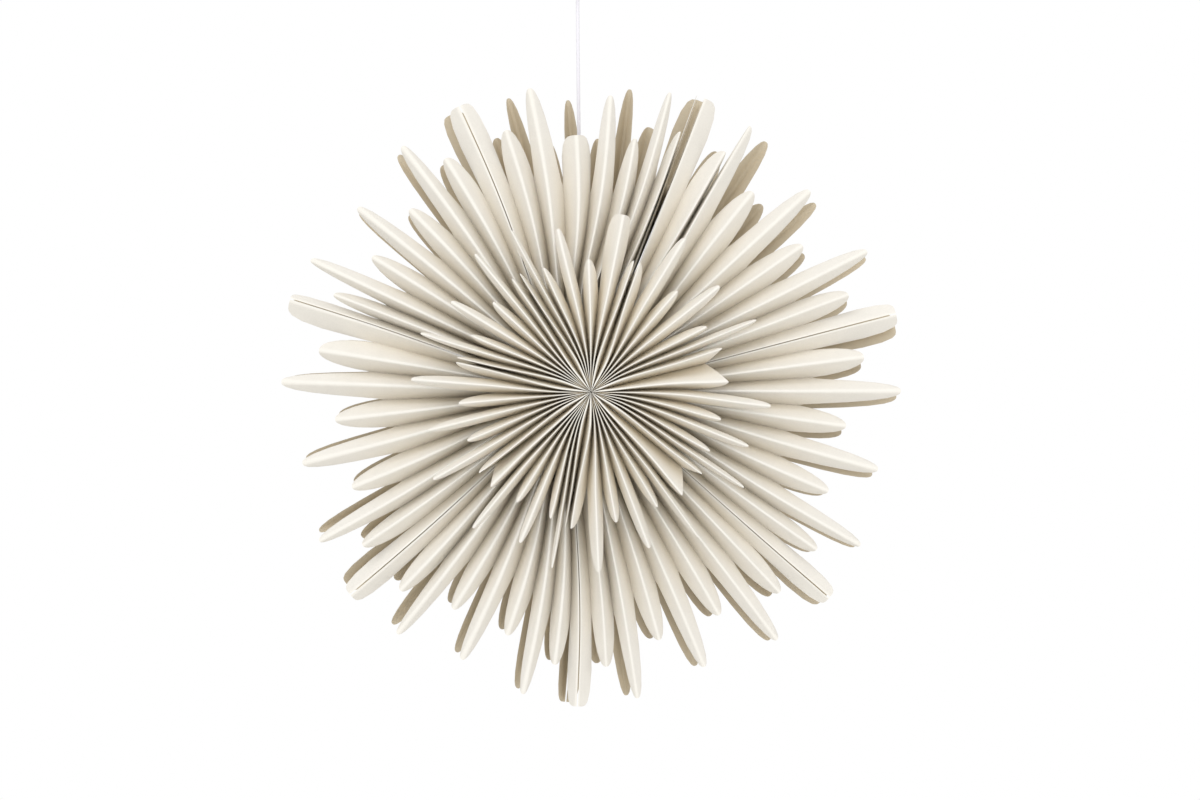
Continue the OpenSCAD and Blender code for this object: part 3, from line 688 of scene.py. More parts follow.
def paper_piece(name, outer, inner, quads, replaced, marks=()):
    """A sheet of paper as a closed thin mesh: the outer layer's quads, the same quads turned
    over on the inner layer, and a band along each open edge."""
    total = len(outer)
    edges = {}
    for quad in quads:
        for a, b in zip(quad, quad[1:] + quad[:1]):
            if (b, a) in edges:
                del edges[(b, a)]
            else:
                edges[(a, b)] = True
    faces = list(quads)
    faces += [tuple(corner + total for corner in reversed(quad)) for quad in quads]
    faces += [(b, a, a + total, b + total) for a, b in edges]
    piece = mesh_piece(name, outer + inner, faces, paper_face(), replaced)
    piece.data.materials.append(shaded_paper_inside())
    piece.data.polygons.foreach_set(
        "material_index", [int(min(face.vertices) >= total) for face in piece.data.polygons])
    for mark, values in dict(marks).items():
        layer = piece.data.attributes.new(mark, "FLOAT", "POINT")
        layer.data.foreach_set("value", values + [0.0] * total)
    return piece


def mix(a, b, share):
    """The value that lies that share of the way from a to b."""
    return a + (b - a) * share


def star_point(r, turn, side, y):
    """A point at a radius and a turn in degrees, shifted sideways, y before the middle."""
    leaf = bpy.context.scene.star_leaf
    a = radians(turn)
    return (leaf.star_x + r * cos(a) - side * sin(a), -y, -leaf.hang + r * sin(a) + side * cos(a))


def mirrored(half, i):
    """A list that runs to the sheet's middle, read on past it as its mirror image."""
    return half[i if i < len(half) else 2 * len(half) - 2 - i]


def leaned(r, reach, lean):
    """The share of its lean that a leaf has done at a radius, where it leans from a radius on."""
    start_r, early = lean
    return 1 - (1 - min(1.0, max(0.0, r - start_r) / (reach - start_r))) ** early


def seam_side(r, side, slack):
    """How far a sheet stops short of a seam: nearly closed inside the dividers, then opening."""
    leaf, seam = bpy.context.scene.star_leaf, bpy.context.scene.star_seam
    closed = mix(slack / 2, side, min(1.0, r / seam.divider_start))
    out = max(0.0, r - seam.divider_start) / (leaf.seam_tip - seam.divider_start)
    if side <= slack:
        return closed
    return closed + mix(seam.joint_gap, seam.open_gap, out ** 2) / 2 * min(1.0, out * JOINT_FADE)


class Pleats:
    """The folds of one pleated sheet, as functions of the radius."""

    def __init__(self, root, tip, reach, cuts, first_is_crest, width, level, flat_valleys,
                 sides, lean):
        """Root and tip hold each fold's turn at the hub and at its end, and reach how far it
        goes, up to the middle fold. Cuts holds the cut of each panel's edge up to there."""
        self.root, self.tip, self.reach, self.cuts = root, tip, reach, cuts
        self.first_is_crest, self.width, self.level = first_is_crest, width, level
        self.flat_valleys, self.sides, self.lean = flat_valleys, sides, lean
        self.seam_drop = bpy.context.scene.star_leaf.seam_drop
        self.last = len(root) - 1
        self.pitch = radians((root[-1] - root[0]) / self.last)
        paper = bpy.context.scene.star_paper
        self.paper_t, self.slack = paper.thickness, paper.slack

    def is_crest(self, i):
        """Whether a fold is a crest, as every other one is."""
        return (i % 2 == 0) == self.first_is_crest

    def crowding(self, r):
        """How much the folds of a small sheet are gathered at a radius."""
        small = bpy.context.scene.star_rosette
        return max(0.0, 1 - r / small.gather_reach) if self.flat_valleys else 0.0

    def turn(self, i, r):
        """The turn of a fold in degrees. A valley runs midway between its crests."""
        if self.is_crest(i) or i in (0, self.last):
            middle = (self.root[0] + self.root[-1]) / 2
            crowd = bpy.context.scene.star_rosette.gathered * self.crowding(r)
            root = self.root[i] if i in (0, self.last) else mix(self.root[i], middle, crowd)
            return mix(root, self.tip[i], leaned(r, mirrored(self.reach, i), self.lean))
        return (self.turn(i - 1, r) + self.turn(i + 1, r)) / 2

    def side(self, i, r):
        """How far a fold is shifted sideways, as the two at the seams are."""
        if i == 0:
            return seam_side(r, self.sides[0], self.slack)
        if i == self.last:
            return -seam_side(r, self.sides[1], self.slack)
        return 0.0

    def half(self, r):
        """Half the distance between two crests."""
        return r * sin(self.pitch)

    def drop(self, r):
        """How far a valley lies under its crests, the less the wider the leaf is open."""
        return sqrt(self.width ** 2 - self.half(r) ** 2)

    def lift(self, r):
        """How far apart the sheet's two faces lie, measured from front to back."""
        return self.width * self.paper_t / (self.half(r) + self.paper_t)

    def height(self, i, r):
        """How far a fold lies before the star's middle plane."""
        top = self.level + self.drop(r) if self.flat_valleys else self.level
        y = top if self.is_crest(i) else top - self.drop(r) + self.lift(r)
        if i not in (0, self.last):
            return y
        return y - self.seam_drop + bpy.context.scene.star_rosette.seam_rise * self.crowding(r)


def crease_radius(r):
    """Radius of a fold, tight at the hub and open towards the tips."""
    paper, leaf = bpy.context.scene.star_paper, bpy.context.scene.star_leaf
    opening = max(0.0, r / leaf.seam_tip - OPENS_FROM) / (1 - OPENS_FROM)
    return mix(paper.crease, paper.open_crease, opening ** 1.5)


def fold_profile(n, half, drop, crease):
    """The n-th point across a panel, as shares of its width and of its drop.

    The fold is an arc of the crease's radius, and the panel runs straight from its end."""
    radius = min(crease, FOLD_SHARE * half)
    slope = atan2(drop, half)
    across, down = radius * sin(slope), radius * (1 - cos(slope))
    if n <= ARC:
        turn = slope * n / ARC
        return radius * sin(turn) / half, radius * (1 - cos(turn)) / drop
    part = PANEL[n - ARC - 1]
    return mix(across / half, 1, part), mix(down / drop, 1, part)


def pleated_sheet(name, pleats, rows, mirror_rear, node, rounded_leaves=()):
    """One folded sheet as a closed thin mesh."""
    leaf, small = bpy.context.scene.star_leaf, bpy.context.scene.star_rosette
    columns = []
    for i in range(pleats.last):
        crest_fold, valley_fold = (i, i + 1) if pleats.is_crest(i) else (i + 1, i)
        cut = pleats.cuts[i if i < pleats.last / 2 else pleats.last - 1 - i]
        if crest_fold in rounded_leaves:
            cut = SEAM_CUT
        tip_r = mirrored(pleats.reach, crest_fold)
        valley_r = mirrored(pleats.reach, valley_fold)
        order = range(ACROSS) if crest_fold == i else range(ACROSS - 1, -1, -1)
        for n in order:
            if i > 0 and n == order[0]:
                continue
            fold = fold_profile(n, pleats.half(tip_r), pleats.drop(tip_r), crease_radius(tip_r))
            edge = mix(valley_r, tip_r, (1 - min(1.0, fold[0]) ** cut[0]) ** (1 / cut[1]))
            columns.append((crest_fold, valley_fold, n, edge))
    outer, inner, ridge_wear_and_highlight, valley = [], [], [], []
    for crest_fold, valley_fold, n, edge in columns:
        for k in range(rows + 1):
            r = mix(leaf.hub_r, edge, k / rows)
            share, fall = fold_profile(n, pleats.half(r), pleats.drop(r), crease_radius(r))
            turn = mix(pleats.turn(crest_fold, r), pleats.turn(valley_fold, r), share)
            side = mix(pleats.side(crest_fold, r), pleats.side(valley_fold, r), share)
            y = mix(pleats.height(crest_fold, r), pleats.height(valley_fold, r), fall)
            if crest_fold in PRESSED_CRESTS:
                y -= small.pressed_back * max(0.0, 1 - r / small.hub_pressed) * (1 - fall)
            sign = -1 if mirror_rear else 1
            outer.append(star_point(r, turn, side, sign * y))
            inner.append(star_point(r, turn, side, sign * (y - pleats.lift(r))))
            # Near the hub the pressed back crests lose their painted highlight and take the painted
            # valley shade.
            close = max(0.0, 1 - r / small.hub_pressed)
            pressed_shade = close if crest_fold in PRESSED_CRESTS else 0.0
            # The ridge value lightens the fold's arc, partly as worn fibres and partly as a painted
            # highlight.
            ridge_wear_and_highlight.append(max(0.0, 1 - n / ARC) * (1 - pressed_shade))
            # The painted valley shade, strongest at the hub and gone by the short leaves' tips.
            shade = mix(leaf.valley_shade_share, 0.0, min(1.0, r / leaf.short_tip))
            valley.append(max(pressed_shade, min(1.0, fall * SHADE_FADE) * shade))
    count = rows + 1
    quads = [(a, a + count, a + count + 1, a + 1)
             for c in range(len(columns) - 1) for a in range(c * count, c * count + rows)]
    if mirror_rear:
        quads = [quad[::-1] for quad in quads]
    return paper_piece(name, outer, inner, quads, [node], {"ridge_wear_and_highlight": ridge_wear_and_highlight, "valley": valley})


def root_of(k):
    """Turn of a seam at the hub, counted on past a full turn."""
    return SEAM_ROOT[k % SEGMENTS] + (360 if k >= SEGMENTS else 0)


def tip_of(tips, k, spread):
    """Turn of a seam at its tip, where the closing seam stands a little apart."""
    extra = spread if k % SEGMENTS == CLOSING_SEAM else 0
    return tips[k % SEGMENTS] + (360 if k >= SEGMENTS else 0) + extra


def seam_space(k):
    """How far a sheet stays from the middle of a seam, beside the divider or end panel."""
    paper, seam = bpy.context.scene.star_paper, bpy.context.scene.star_seam
    if k % SEGMENTS == CLOSING_SEAM:
        return seam.closing_gap / 2 + paper.thickness + paper.slack
    return paper.thickness / 2 + paper.slack


def large_pleats(k, tips, spread, turns):
    """The folds of a large sheet, whose half leaves lie along its two seams."""
    leaf = bpy.context.scene.star_leaf
    folds = 2 * (LEAVES + 1)
    crests = (tip_of(tips, k, spread), *turns, tip_of(tips, k + 1, -spread))
    root = [mix(root_of(k), root_of(k + 1), i / folds) for i in range(folds + 1)]
    tip = [crests[i // 2] for i in range(folds + 1)]
    reach = (leaf.seam_tip, leaf.outer_valley, leaf.side_tip, leaf.outer_valley, leaf.long_tip,
             leaf.inner_valley, leaf.short_tip, leaf.middle_valley, leaf.middle_tip)
    return Pleats(root, tip, reach, LARGE_CUTS, True, leaf.pleat_w, leaf.crest, False,
                  (seam_space(k), seam_space(k + 1)), (leaf.lean_start, leaf.lean_early))


def small_pleats(k, turns):
    """The folds of a small sheet, evenly spread where no turns are given."""
    leaf, small = bpy.context.scene.star_leaf, bpy.context.scene.star_rosette
    paper = bpy.context.scene.star_paper
    folds = 2 * LEAVES
    root = [mix(root_of(k), root_of(k + 1), i / folds) for i in range(folds + 1)]
    tip = list(root)
    tip[1::2] = turns or root[1::2]
    reach = (small.seam, small.side_tip, small.outer_valley, small.long_tip,
             small.outer_valley, small.short_tip, small.inner_valley, small.middle_tip)
    return Pleats(root, tip, reach, SMALL_CUTS, False, leaf.pleat_w, leaf.crest + paper.slack,
                  True, (paper.slack / 2,) * 2, (small.lean_start, small.lean_early))


class STARLAMP_OT_large_leaves(bpy.types.Operator):
    """Makes the fourteen large pleated sheets, in front and at the rear"""
    bl_idname = "starlamp.large_leaves"
    bl_label = "Large Leaves"

    def execute(self, context):
        for k in range(SEGMENTS):
            front = large_pleats(k, SEAM_TIP_FRONT, CLOSING_SPREAD_FRONT, FRONT_TURNS[k])
            rear = large_pleats(k, SEAM_TIP_REAR, CLOSING_SPREAD_REAR, REAR_TURNS[k])
            pleated_sheet(f"front_sheet_{k + 1}", front, LARGE_ROWS, False, f"front_leaves_{k + 1}",
                          ROUNDED_LARGE.get(k, ()))
            pleated_sheet(f"rear_sheet_{k + 1}", rear, LARGE_ROWS, True, f"rear_leaves_{k + 1}")
        return {"FINISHED"}


class STARLAMP_OT_rosettes(bpy.types.Operator):
    """Makes the fourteen small pleated sheets that lie on the large ones"""
    bl_idname = "starlamp.rosettes"
    bl_label = "Rosettes"

    def execute(self, context):
        for k in range(SEGMENTS):
            front, rear = small_pleats(k, SMALL_TURNS[k]), small_pleats(k, ())
            pleated_sheet(f"front_small_{k + 1}", front, SMALL_ROWS, False, f"front_rosette_{k + 1}",
                          ROUNDED_SMALL.get(k, ()))
            pleated_sheet(f"rear_small_{k + 1}", rear, SMALL_ROWS, True, f"rear_rosette_{k + 1}")
        return {"FINISHED"}


def rounded(outline, radius, closed):
    """An outline of radii and heights with its corners rounded off, as a mould leaves them."""
    points = []
    ends = () if closed else (0, len(outline) - 1)
    for i, corner in enumerate(outline):
        corner = Vector(corner)
        if i in ends:
            points.append(corner)
            continue
        before = Vector(outline[i - 1]) - corner
        after = Vector(outline[(i + 1) % len(outline)]) - corner
        start = corner + before.normalized() * min(radius, CORNER_SHARE * before.length)
        end = corner + after.normalized() * min(radius, CORNER_SHARE * after.length)
        points += [bow(start, corner, end, t) for t in CORNER_POINTS]
    return points


def bow(start, towards, end, share):
    """A point on the curve that leaves start towards a point and bends round to the end."""
    return mix(mix(start, towards, share), mix(towards, end, share), share)


def dense(points, step, closed):
    """The outline with its long edges divided."""
    result = []
    for a, b in zip(points, points[1:] + points[:1] if closed else points[1:]):
        count = max(1, ceil((b - a).length / step))
        result += [mix(a, b, i / count) for i in range(count)]
    return result if closed else result + [points[-1]]


def carved(crest_r, low, high, margin, depth, profile):
    """Cuts into a wall of that radius between two heights, fading out over a margin."""
    def cut(r, z, a):
        if abs(r - crest_r) > ON_WALL or not low < z < high:
            return r
        fade = min(1.0, (z - low) / margin, (high - z) / margin)
        return r - depth * fade * profile(z, a)
    return cut


def threaded(crest_r, low, high, pitch, depth):
    """A rounded screw thread."""
    return carved(crest_r, low, high, pitch, depth,
                  lambda z, a: (1 - cos(2 * pi * z / pitch - a)) / 2)


def fluted(crest_r, low, high, count, depth):
    """Upright grip flutes."""
    return carved(crest_r, low, high, FLUTE_FADE, depth,
                  lambda z, a: abs(cos(count * a / 2)) ** FLUTE_POWER)


def turned(name, axis, outline, surface, node, corner=0.4 * MM, step=6 * MM, sides=SIDES,
           cut=None):
    """A piece turned round a vertical axis, which is given by its sideways place and its zero
    height. The outline is a loop, or a line whose two ends lie on the axis."""
    closed = outline[0][0] > 0
    loop = dense(rounded(outline, corner, closed), step, closed)
    points = []
    for r, z in loop:
        for i in range(sides):
            a = 2 * pi * i / sides
            out = cut(r, z, a) if cut else r
            points.append((axis[0] + out * cos(a), out * sin(a), axis[1] + z))
    rings = len(loop)
    quads = []
    for k in range(rings if closed else rings - 1):
        a, b = k * sides, (k + 1) % rings * sides
        for i in range(sides):
            j = (i + 1) % sides
            quads.append((a + i, a + j, b + j, b + i))
    piece = mesh_piece(name, points, quads, surface, [node])
    tidy = bmesh.new()
    tidy.from_mesh(piece.data)
    bmesh.ops.remove_doubles(tidy, verts=tidy.verts, dist=AS_ONE)
    bmesh.ops.recalc_face_normals(tidy, faces=tidy.faces)
    tidy.to_mesh(piece.data)
    tidy.free()
    piece.data.set_sharp_from_angle(angle=SHARP)
    return piece


def holder_axis():
    """The lampholder's axis, with its zero height at the star's centre."""
    scene = bpy.context.scene
    return scene.star_holder.axis_x, -scene.star_leaf.hang


def wire_height():
    """Height over the star's centre of the carrier's wire, which lies under the flange."""
    h = bpy.context.scene.star_holder
    return h.flange_z - h.wire_d / 2 - h.seat


def cord_grip(name, axis, foot_z, way, node):
    """A cord grip that stands on a wall, up or down: a fluted collar, and a stem through it."""
    h = bpy.context.scene.star_holder
    cone_z = h.grip_h - h.grip_cone_h
    outline = [
        (h.grip_r, 0), (h.grip_r, cone_z), (h.grip_r - h.grip_cone_r, h.grip_h),
        (h.grip_bore_r, h.grip_h), (h.grip_bore_r, -h.stem_h), (h.stem_r, -h.stem_h),
        (h.stem_r, 0),
    ]
    ends = sorted(foot_z + way * z for z in (h.flute_foot, cone_z - h.flute_depth))
    turned(name, axis, [(r, foot_z + way * z) for r, z in outline], white_plastic(),
           node, step=0.6 * MM,
           cut=fluted(h.grip_r, *ends, GRIP_FLUTES, h.flute_depth))


class STARLAMP_OT_lampholder(bpy.types.Operator):
    """Makes the lampholder's shell, shade ring, contact insert and cord grip"""
    bl_idname = "starlamp.lampholder"
    bl_label = "Lampholder"

    def execute(self, context):
        h = context.scene.star_holder
        axis = holder_axis()
        hole_r = h.stem_r + h.fit
        inner_r = h.shell_r - h.wall
        under = h.top_z - h.wall
        over_flange = h.flange_z + h.flange_t
        turned("holder_shell", axis, (
            (h.shell_r, h.mouth_z), (h.shell_r, h.flange_z), (h.flange_r, h.flange_z),
            (h.flange_r, over_flange), (h.shell_r, over_flange), (h.shell_r, h.shoulder_z),
            (h.top_r, h.top_z), (hole_r, h.top_z), (hole_r, under),
            (h.top_r - h.wall / 2, under), (inner_r, h.shoulder_z), (inner_r, h.mouth_z),
        ), white_plastic(), "lampholder_shell", step=0.4 * MM,
            cut=threaded(h.shell_r, h.mouth_z + h.thread_depth, h.flange_z - h.thread_depth,
                         h.thread_pitch, h.thread_depth))

        ring_r = h.shell_r + h.fit
        high = h.flange_z - h.wire_d - 2 * h.seat
        low = high - h.ring_h
        turned("threaded_shade_ring", axis, (
            (h.flange_r, low), (h.flange_r, high), (ring_r, high), (ring_r, low),
        ), white_plastic(), "shade_ring", step=0.5 * MM, sides=RING_SIDES,
            cut=fluted(h.flange_r, low + h.rib_depth, high - h.rib_depth, RING_FLUTES,
                       h.rib_depth))

        insert_r = inner_r - h.fit
        bore_z = h.insert_z + h.insert_bore_h
        insert_top = bore_z + h.insert_top
        neck_z = insert_top - h.insert_neck_h
        contact_z = bore_z - h.contact_h
        turned("melamine_insert", axis, (
            (0, insert_top), (h.insert_neck_r, insert_top), (h.insert_neck_r, neck_z),
            (insert_r, neck_z), (insert_r, h.insert_z), (h.insert_bore_r, h.insert_z),
            (h.insert_bore_r, bore_z), (h.contact_r, bore_z),
            (0.8 * h.contact_r, contact_z), (0, contact_z - h.contact_dome),
        ), insert_plastic(), "contact_insert")
        cord_grip("holder_grip_screw", axis, h.top_z + h.seat, 1, "holder_cord_grip")
        return {"FINISHED"}


class STARLAMP_OT_bulb(bpy.types.Operator):
    """Makes the bulb: its coated globe, its threaded cap and the contact at its end"""
    bl_idname = "starlamp.bulb"
    bl_label = "Bulb"

    def execute(self, context):
        b = context.scene.star_bulb
        axis = holder_axis()
        globe = [(b.globe_r * cos(a), b.globe_r * sin(a))
                 for a in steps_between(-pi / 2, b.neck_turn, GLOBE_STEPS)]
        globe[0] = (0, -b.globe_r)
        low, high = Vector(globe[-1]), Vector((b.neck_r, b.neck_z))
        globe += [tuple(bow(low, Vector((b.bow_r, b.bow_z)), high, t))
                  for t in steps_between(0, 1, NECK_STEPS)[1:]]
        globe.append((0, b.glass_z))
        turned("bulb_glass", axis, globe, opal_glass(), "bulb", corner=0.2 * MM)

        rim_z = b.cap_z + b.rim_h
        thread_z = rim_z + b.rim_slope
        turned("bulb_cap", axis, (
            (0, b.cap_z), (b.rim_r, b.cap_z), (b.rim_r, rim_z), (b.cap_r, thread_z),
            (b.cap_r, b.bevel_z), (b.cap_end_r, b.cap_top_z), (0, b.cap_top_z),
        ), nickel(), "bulb", corner=0.25 * MM, step=0.3 * MM,
            cut=threaded(b.cap_r, thread_z + b.thread_gap, b.bevel_z - b.thread_gap,
                         b.thread_pitch, b.thread_depth))

        glass_z = b.cap_top_z - b.sunk
        turned("bulb_cap_insulator", axis, (
            (0, glass_z), (b.cap_end_r, glass_z), (b.insulator_r, b.insulator_z),
            (0, b.insulator_z),
        ), black_glass(), "bulb", corner=0.3 * MM)

        foot_z = b.insulator_z - b.sunk
        turned("bulb_contact", axis, (
            (0, foot_z), (b.contact_r, foot_z), (b.contact_top_r, b.contact_side_z),
            (0, b.contact_z),
        ), nickel(), "bulb", corner=0.3 * MM)
        return {"FINISHED"}


class STARLAMP_OT_carrier(bpy.types.Operator):
    """Bends the wire carrier: a ring under the shell's flange and two upturned arms"""
    bl_idname = "starlamp.carrier"
    bl_label = "Carrier"

    def execute(self, context):
        h = context.scene.star_holder
        x, z = holder_axis()
        z += wire_height()
        turns = [2 * pi * i / WIRE_RING_STEPS for i in range(WIRE_RING_STEPS)]
        ring = [(x + h.wire_ring_r * cos(a), h.wire_ring_r * sin(a), z) for a in turns]
        routes = [(ring, True)]
        for sign, reach in ((1, h.arm_right), (-1, h.arm_left)):
            arm = [(h.wire_ring_r, 0)]
            arm += [(reach - h.arm_bend * (1 - sin(a)), h.arm_bend * (1 - cos(a)))
                    for a in steps_between(0, pi / 2, BEND_STEPS)]
            arm += [(reach, h.arm_end)]
            routes.append(([(x + sign * out, 0, z + up) for out, up in arm], False))
        tube("wire_carrier", routes, h.wire_d, 4, zinc(), ["shade_carrier"])
        return {"FINISHED"}


class STARLAMP_OT_ceiling(bpy.types.Operator):
    """Makes the ceiling cup and its cord grip, and finishes the pieces inside the cup"""
    bl_idname = "starlamp.ceiling"
    bl_label = "Ceiling Cup"

    def execute(self, context):
        c, h = context.scene.star_cup, context.scene.star_holder
        axis = (0.0, 0.0)
        hole_r = h.stem_r + h.fit
        inside = c.wall - c.height
        side_z = c.slope - c.height
        turned("moulded_cup", axis, (
            (hole_r, -c.height), (c.floor_r - c.slope, -c.height),
            (c.floor_r - c.bevel, c.bevel - c.height), (c.floor_r, side_z), (c.rim_r, 0),
            (c.rim_r - c.wall, 0), (c.floor_r - c.wall, side_z), (c.floor_r - c.slope, inside),
            (hole_r, inside),
        ), white_plastic(), "ceiling_cup", corner=c.corner, step=1.5 * MM,
            sides=CUP_SIDES)
        cord_grip("cup_grip_screw", axis, -c.height - h.seat, -1, "cup_cord_grip")
        surfaced("cup_grip_nut", zinc())
        surfaced("base_plate", zinc())
        surfaced("terminal_block", insert_plastic())
        return {"FINISHED"}


def steps_between(low, high, count):
    """Even steps from low to high, with both ends."""
    return [mix(low, high, i / count) for i in range(count + 1)]


def divider_sheet(name, k, side, spread_sign, node, arm):
    """The flat sheet in a seam: a wall from front to rear, and beyond the valleys two strips
    cut as half a seam leaf. Its edge lies a groove's depth below the seam."""
    scene = bpy.context.scene
    leaf, seam, paper = scene.star_leaf, scene.star_seam, scene.star_paper
    top = leaf.crest - leaf.seam_drop - seam.groove
    neck = leaf.crest - leaf.pleat_w + seam.strip_inset
    reach = leaf.seam_tip - seam.groove
    lean = (leaf.lean_start, leaf.lean_early)
    front = tip_of(SEAM_TIP_FRONT, k, spread_sign * CLOSING_SPREAD_FRONT)
    rear = tip_of(SEAM_TIP_REAR, k, spread_sign * CLOSING_SPREAD_REAR)
    hole = []
    if arm:
        hole_r = wire_height() / sin(radians(SEAM_ROOT[k]))
        hole = [hole_r - seam.arm_hole / 2, hole_r + seam.arm_hole / 2]
    wall = [r for r in steps_between(seam.divider_start, leaf.outer_valley, DIVIDER_ROWS)
            if not hole or not hole[0] - MM < r < hole[1] + MM] + hole
    rows = sorted(wall) + steps_between(leaf.outer_valley, reach, DIVIDER_ROWS)[1:]
    last_wall = len(wall) - 1

    def depth(r):
        """The height over the middle at which a strip ends."""
        if r <= leaf.outer_valley:
            return neck
        height = (r - leaf.outer_valley) / (reach - leaf.outer_valley)
        share = (1 - min(1.0, height) ** SEAM_CUT[1]) ** (1 / SEAM_CUT[0])
        return mix(top, neck, share)

    strip = [0.0, 0.25, 0.5, 0.75, 1.0]
    across = [-1.0, -0.5, -seam.arm_hole / 2 / neck, seam.arm_hole / 2 / neck, 0.5, 1.0]
    outer, inner = [], []
    for r in rows:
        heights = [mix(top, depth(r), share) for share in strip]
        heights += [neck * share for share in across[-2:0:-1]]
        heights += [-mix(depth(r), top, share) for share in strip]
        for y in heights:
            to_front = (y + leaf.crest) / (2 * leaf.crest)
            turn = mix(SEAM_ROOT[k], mix(rear, front, to_front), leaned(r, leaf.seam_tip, lean))
            outer.append(star_point(r, turn, side + paper.thickness / 2, y))
            inner.append(star_point(r, turn, side - paper.thickness / 2, y))
    count = len(strip) * 2 + len(across) - 2
    strips = [*range(len(strip) - 1), *range(count - len(strip), count - 1)]
    middle = len(strip) + (len(across) - 2) // 2 - 1
    quads = []
    for j in range(len(rows) - 1):
        for c in range(count - 1):
            if j >= last_wall and c not in strips:
                continue
            if hole and rows[j] == hole[0] and c == middle:
                continue
            a = j * count + c
            quads.append((a, a + 1, a + count + 1, a + count))
    paper_piece(name, outer, inner, quads, [node])


class STARLAMP_OT_seams(bpy.types.Operator):
    """Makes the dividers and the two end panels, and covers the closing pads with pile"""
    bl_idname = "starlamp.seams"
    bl_label = "Seams"

    def execute(self, context):
        seam, sheet = context.scene.star_seam, context.scene.star_paper
        for k in range(SEGMENTS):
            if k != CLOSING_SEAM:
                divider_sheet(f"seam_divider_{k + 1}", k, 0, 0, f"divider_{k + 1}",
                              k == CLOSING_SEAM + 1)
        apart = seam.closing_gap / 2 + sheet.thickness / 2
        divider_sheet("fan_end_first", CLOSING_SEAM, apart, 1, "end_panel_first", True)
        divider_sheet("fan_end_last", CLOSING_SEAM, -apart, -1, "end_panel_last", True)
        surfaced("closing_pads", loop_pile())
        return {"FINISHED"}


class STARLAMP_OT_cord(bpy.types.Operator):
    """Makes the hanging cord, held taut between the lampholder and the ceiling cup"""
    bl_idname = "starlamp.cord"
    bl_label = "Cord"

    def execute(self, context):
        cord_d = context.scene.star_holder.cord_d
        piece = tube("hanging_cord", [(CORD_ROUTE, False)], cord_d, 5, cord_vinyl(),
                     ["cord"])
        return {"FINISHED"}


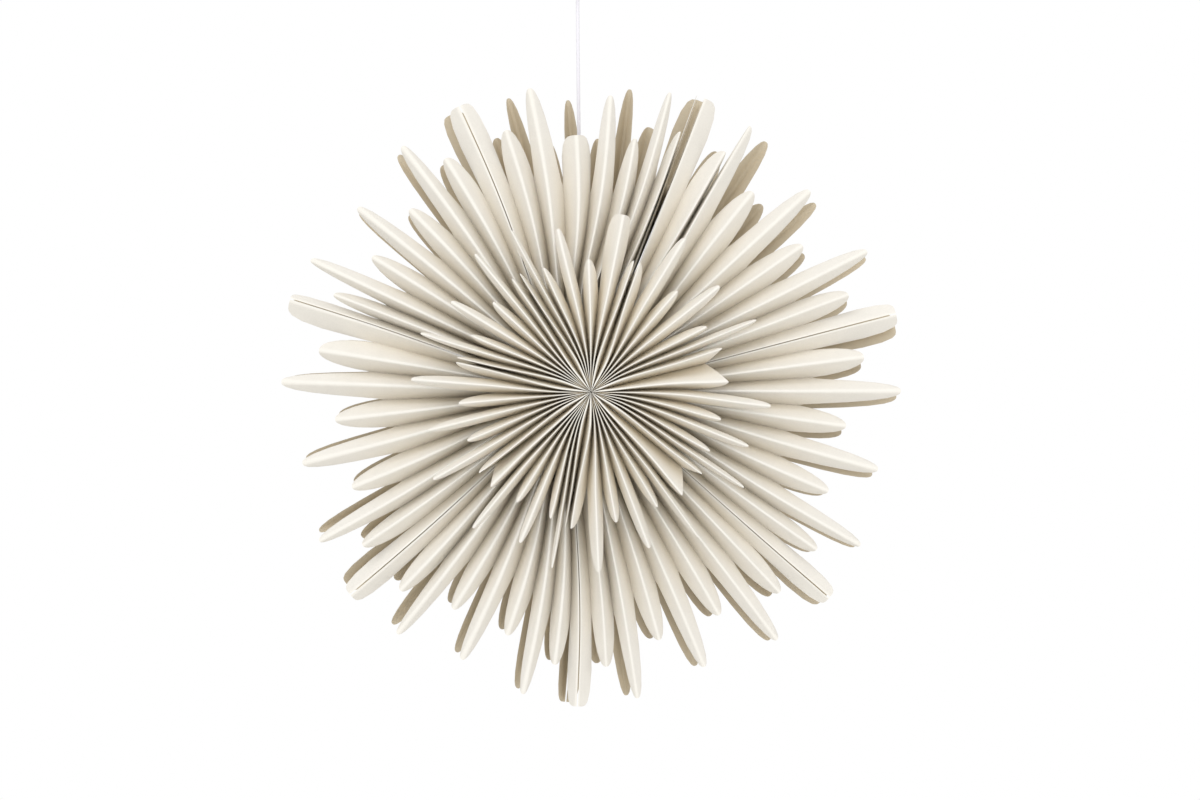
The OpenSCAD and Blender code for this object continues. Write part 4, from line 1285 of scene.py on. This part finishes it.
class STARLAMP_OT_stage(bpy.types.Operator):
    """Sets up the floor, the lamps, the world and the camera"""
    bl_idname = "starlamp.stage"
    bl_label = "Stage"

    def execute(self, context):
        scene = context.scene
        stage, leaf = scene.star_stage, scene.star_leaf
        data = bpy.data.cameras.new("photo_camera")
        data.sensor_width = SENSOR_W
        data.lens = (stage.distance - leaf.crest) / stage.pixel * SENSOR_W / PHOTO_SIZE[0]
        data.clip_end = SEEN_DEPTH
        camera = bpy.data.objects.new("photo_camera", data)
        right, down = (side / 2 - star for side, star in zip(PHOTO_SIZE, STAR_PIXEL))
        camera.location = (leaf.star_x + right * stage.pixel, -stage.distance,
                           -leaf.hang - down * stage.pixel)
        camera.rotation_euler = (pi / 2, 0, 0)
        context.collection.objects.link(camera)
        scene.camera = camera

        floor_mesh = bpy.data.meshes.new("studio_floor")
        reach, low = stage.floor_reach, -leaf.hang - stage.floor_drop
        floor_mesh.from_pydata(
            [(-reach, -reach, low), (reach, -reach, low), (reach, reach, low),
             (-reach, reach, low)], [], [(0, 1, 2, 3)])
        floor_mesh.materials.append(painted_floor())
        floor = bpy.data.objects.new("studio_floor", floor_mesh)
        context.collection.objects.link(floor)

        world = bpy.data.worlds.new("studio")
        world.use_nodes = True
        world.node_tree.nodes.clear()
        path = add(world, "ShaderNodeLightPath")
        seen = add(world, "ShaderNodeMath", {
            0: path.outputs["Is Camera Ray"], 1: path.outputs["Is Glossy Ray"]},
            operation="MAXIMUM")
        strength = add(world, "ShaderNodeMapRange", {
            "Value": seen.outputs[0], "To Min": stage.sky, "To Max": 1.0})
        sky = add(world, "ShaderNodeBackground", {
            "Color": rgba(linear("#FFFFFF")), "Strength": strength.outputs["Result"]})
        add(world, "ShaderNodeOutputWorld", {"Surface": sky.outputs["Background"]})
        scene.world = world

        centre = Vector((leaf.star_x, 0, -leaf.hang))
        for name, (place, size, watts) in LAMPS.items():
            lamp = bpy.data.lights.new(name, "AREA")
            lamp.shape = "SQUARE"
            lamp.size = size
            lamp.energy = watts
            holder = bpy.data.objects.new(name, lamp)
            holder.location = centre + Vector(place)
            holder.rotation_euler = (-Vector(place)).to_track_quat("-Z", "Y").to_euler()
            context.collection.objects.link(holder)

        scene.view_settings.view_transform = "Standard"
        return {"FINISHED"}


OPERATORS = (
    STARLAMP_OT_stage, STARLAMP_OT_ceiling, STARLAMP_OT_cord, STARLAMP_OT_lampholder,
    STARLAMP_OT_bulb, STARLAMP_OT_carrier, STARLAMP_OT_large_leaves, STARLAMP_OT_rosettes,
    STARLAMP_OT_seams,
)
GROUPS = {
    "star_paper": PaperProps,
    "star_leaf": LeafProps,
    "star_rosette": RosetteProps,
    "star_seam": SeamProps,
    "star_finish": FinishProps,
    "star_holder": HolderProps,
    "star_bulb": BulbProps,
    "star_cup": CupProps,
    "star_stage": StageProps,
}


class STARLAMP_PT_sidebar(bpy.types.Panel):
    """Lists the steps and the sizes in the sidebar"""
    bl_idname = "STARLAMP_PT_sidebar"
    bl_label = "Paper Star Lamp"
    bl_space_type = "VIEW_3D"
    bl_region_type = "UI"
    bl_category = "Paper Star"

    def draw(self, context):
        for operator in OPERATORS:
            self.layout.operator(operator.bl_idname)
        for name, group in GROUPS.items():
            box = self.layout.box()
            settings = getattr(context.scene, name)
            for field in group.__annotations__:
                box.prop(settings, field)


CLASSES = (*GROUPS.values(), *OPERATORS, STARLAMP_PT_sidebar)


def register():
    for cls in CLASSES:
        bpy.utils.register_class(cls)
    for name, group in GROUPS.items():
        setattr(bpy.types.Scene, name, PointerProperty(type=group))


def unregister():
    for name in GROUPS:
        delattr(bpy.types.Scene, name)
    for cls in reversed(CLASSES):
        bpy.utils.unregister_class(cls)


def main():
    register()
    for operator in OPERATORS:
        namespace, action = operator.bl_idname.split(".")
        getattr(getattr(bpy.ops, namespace), action)()


if __name__ == "__main__":
    main()
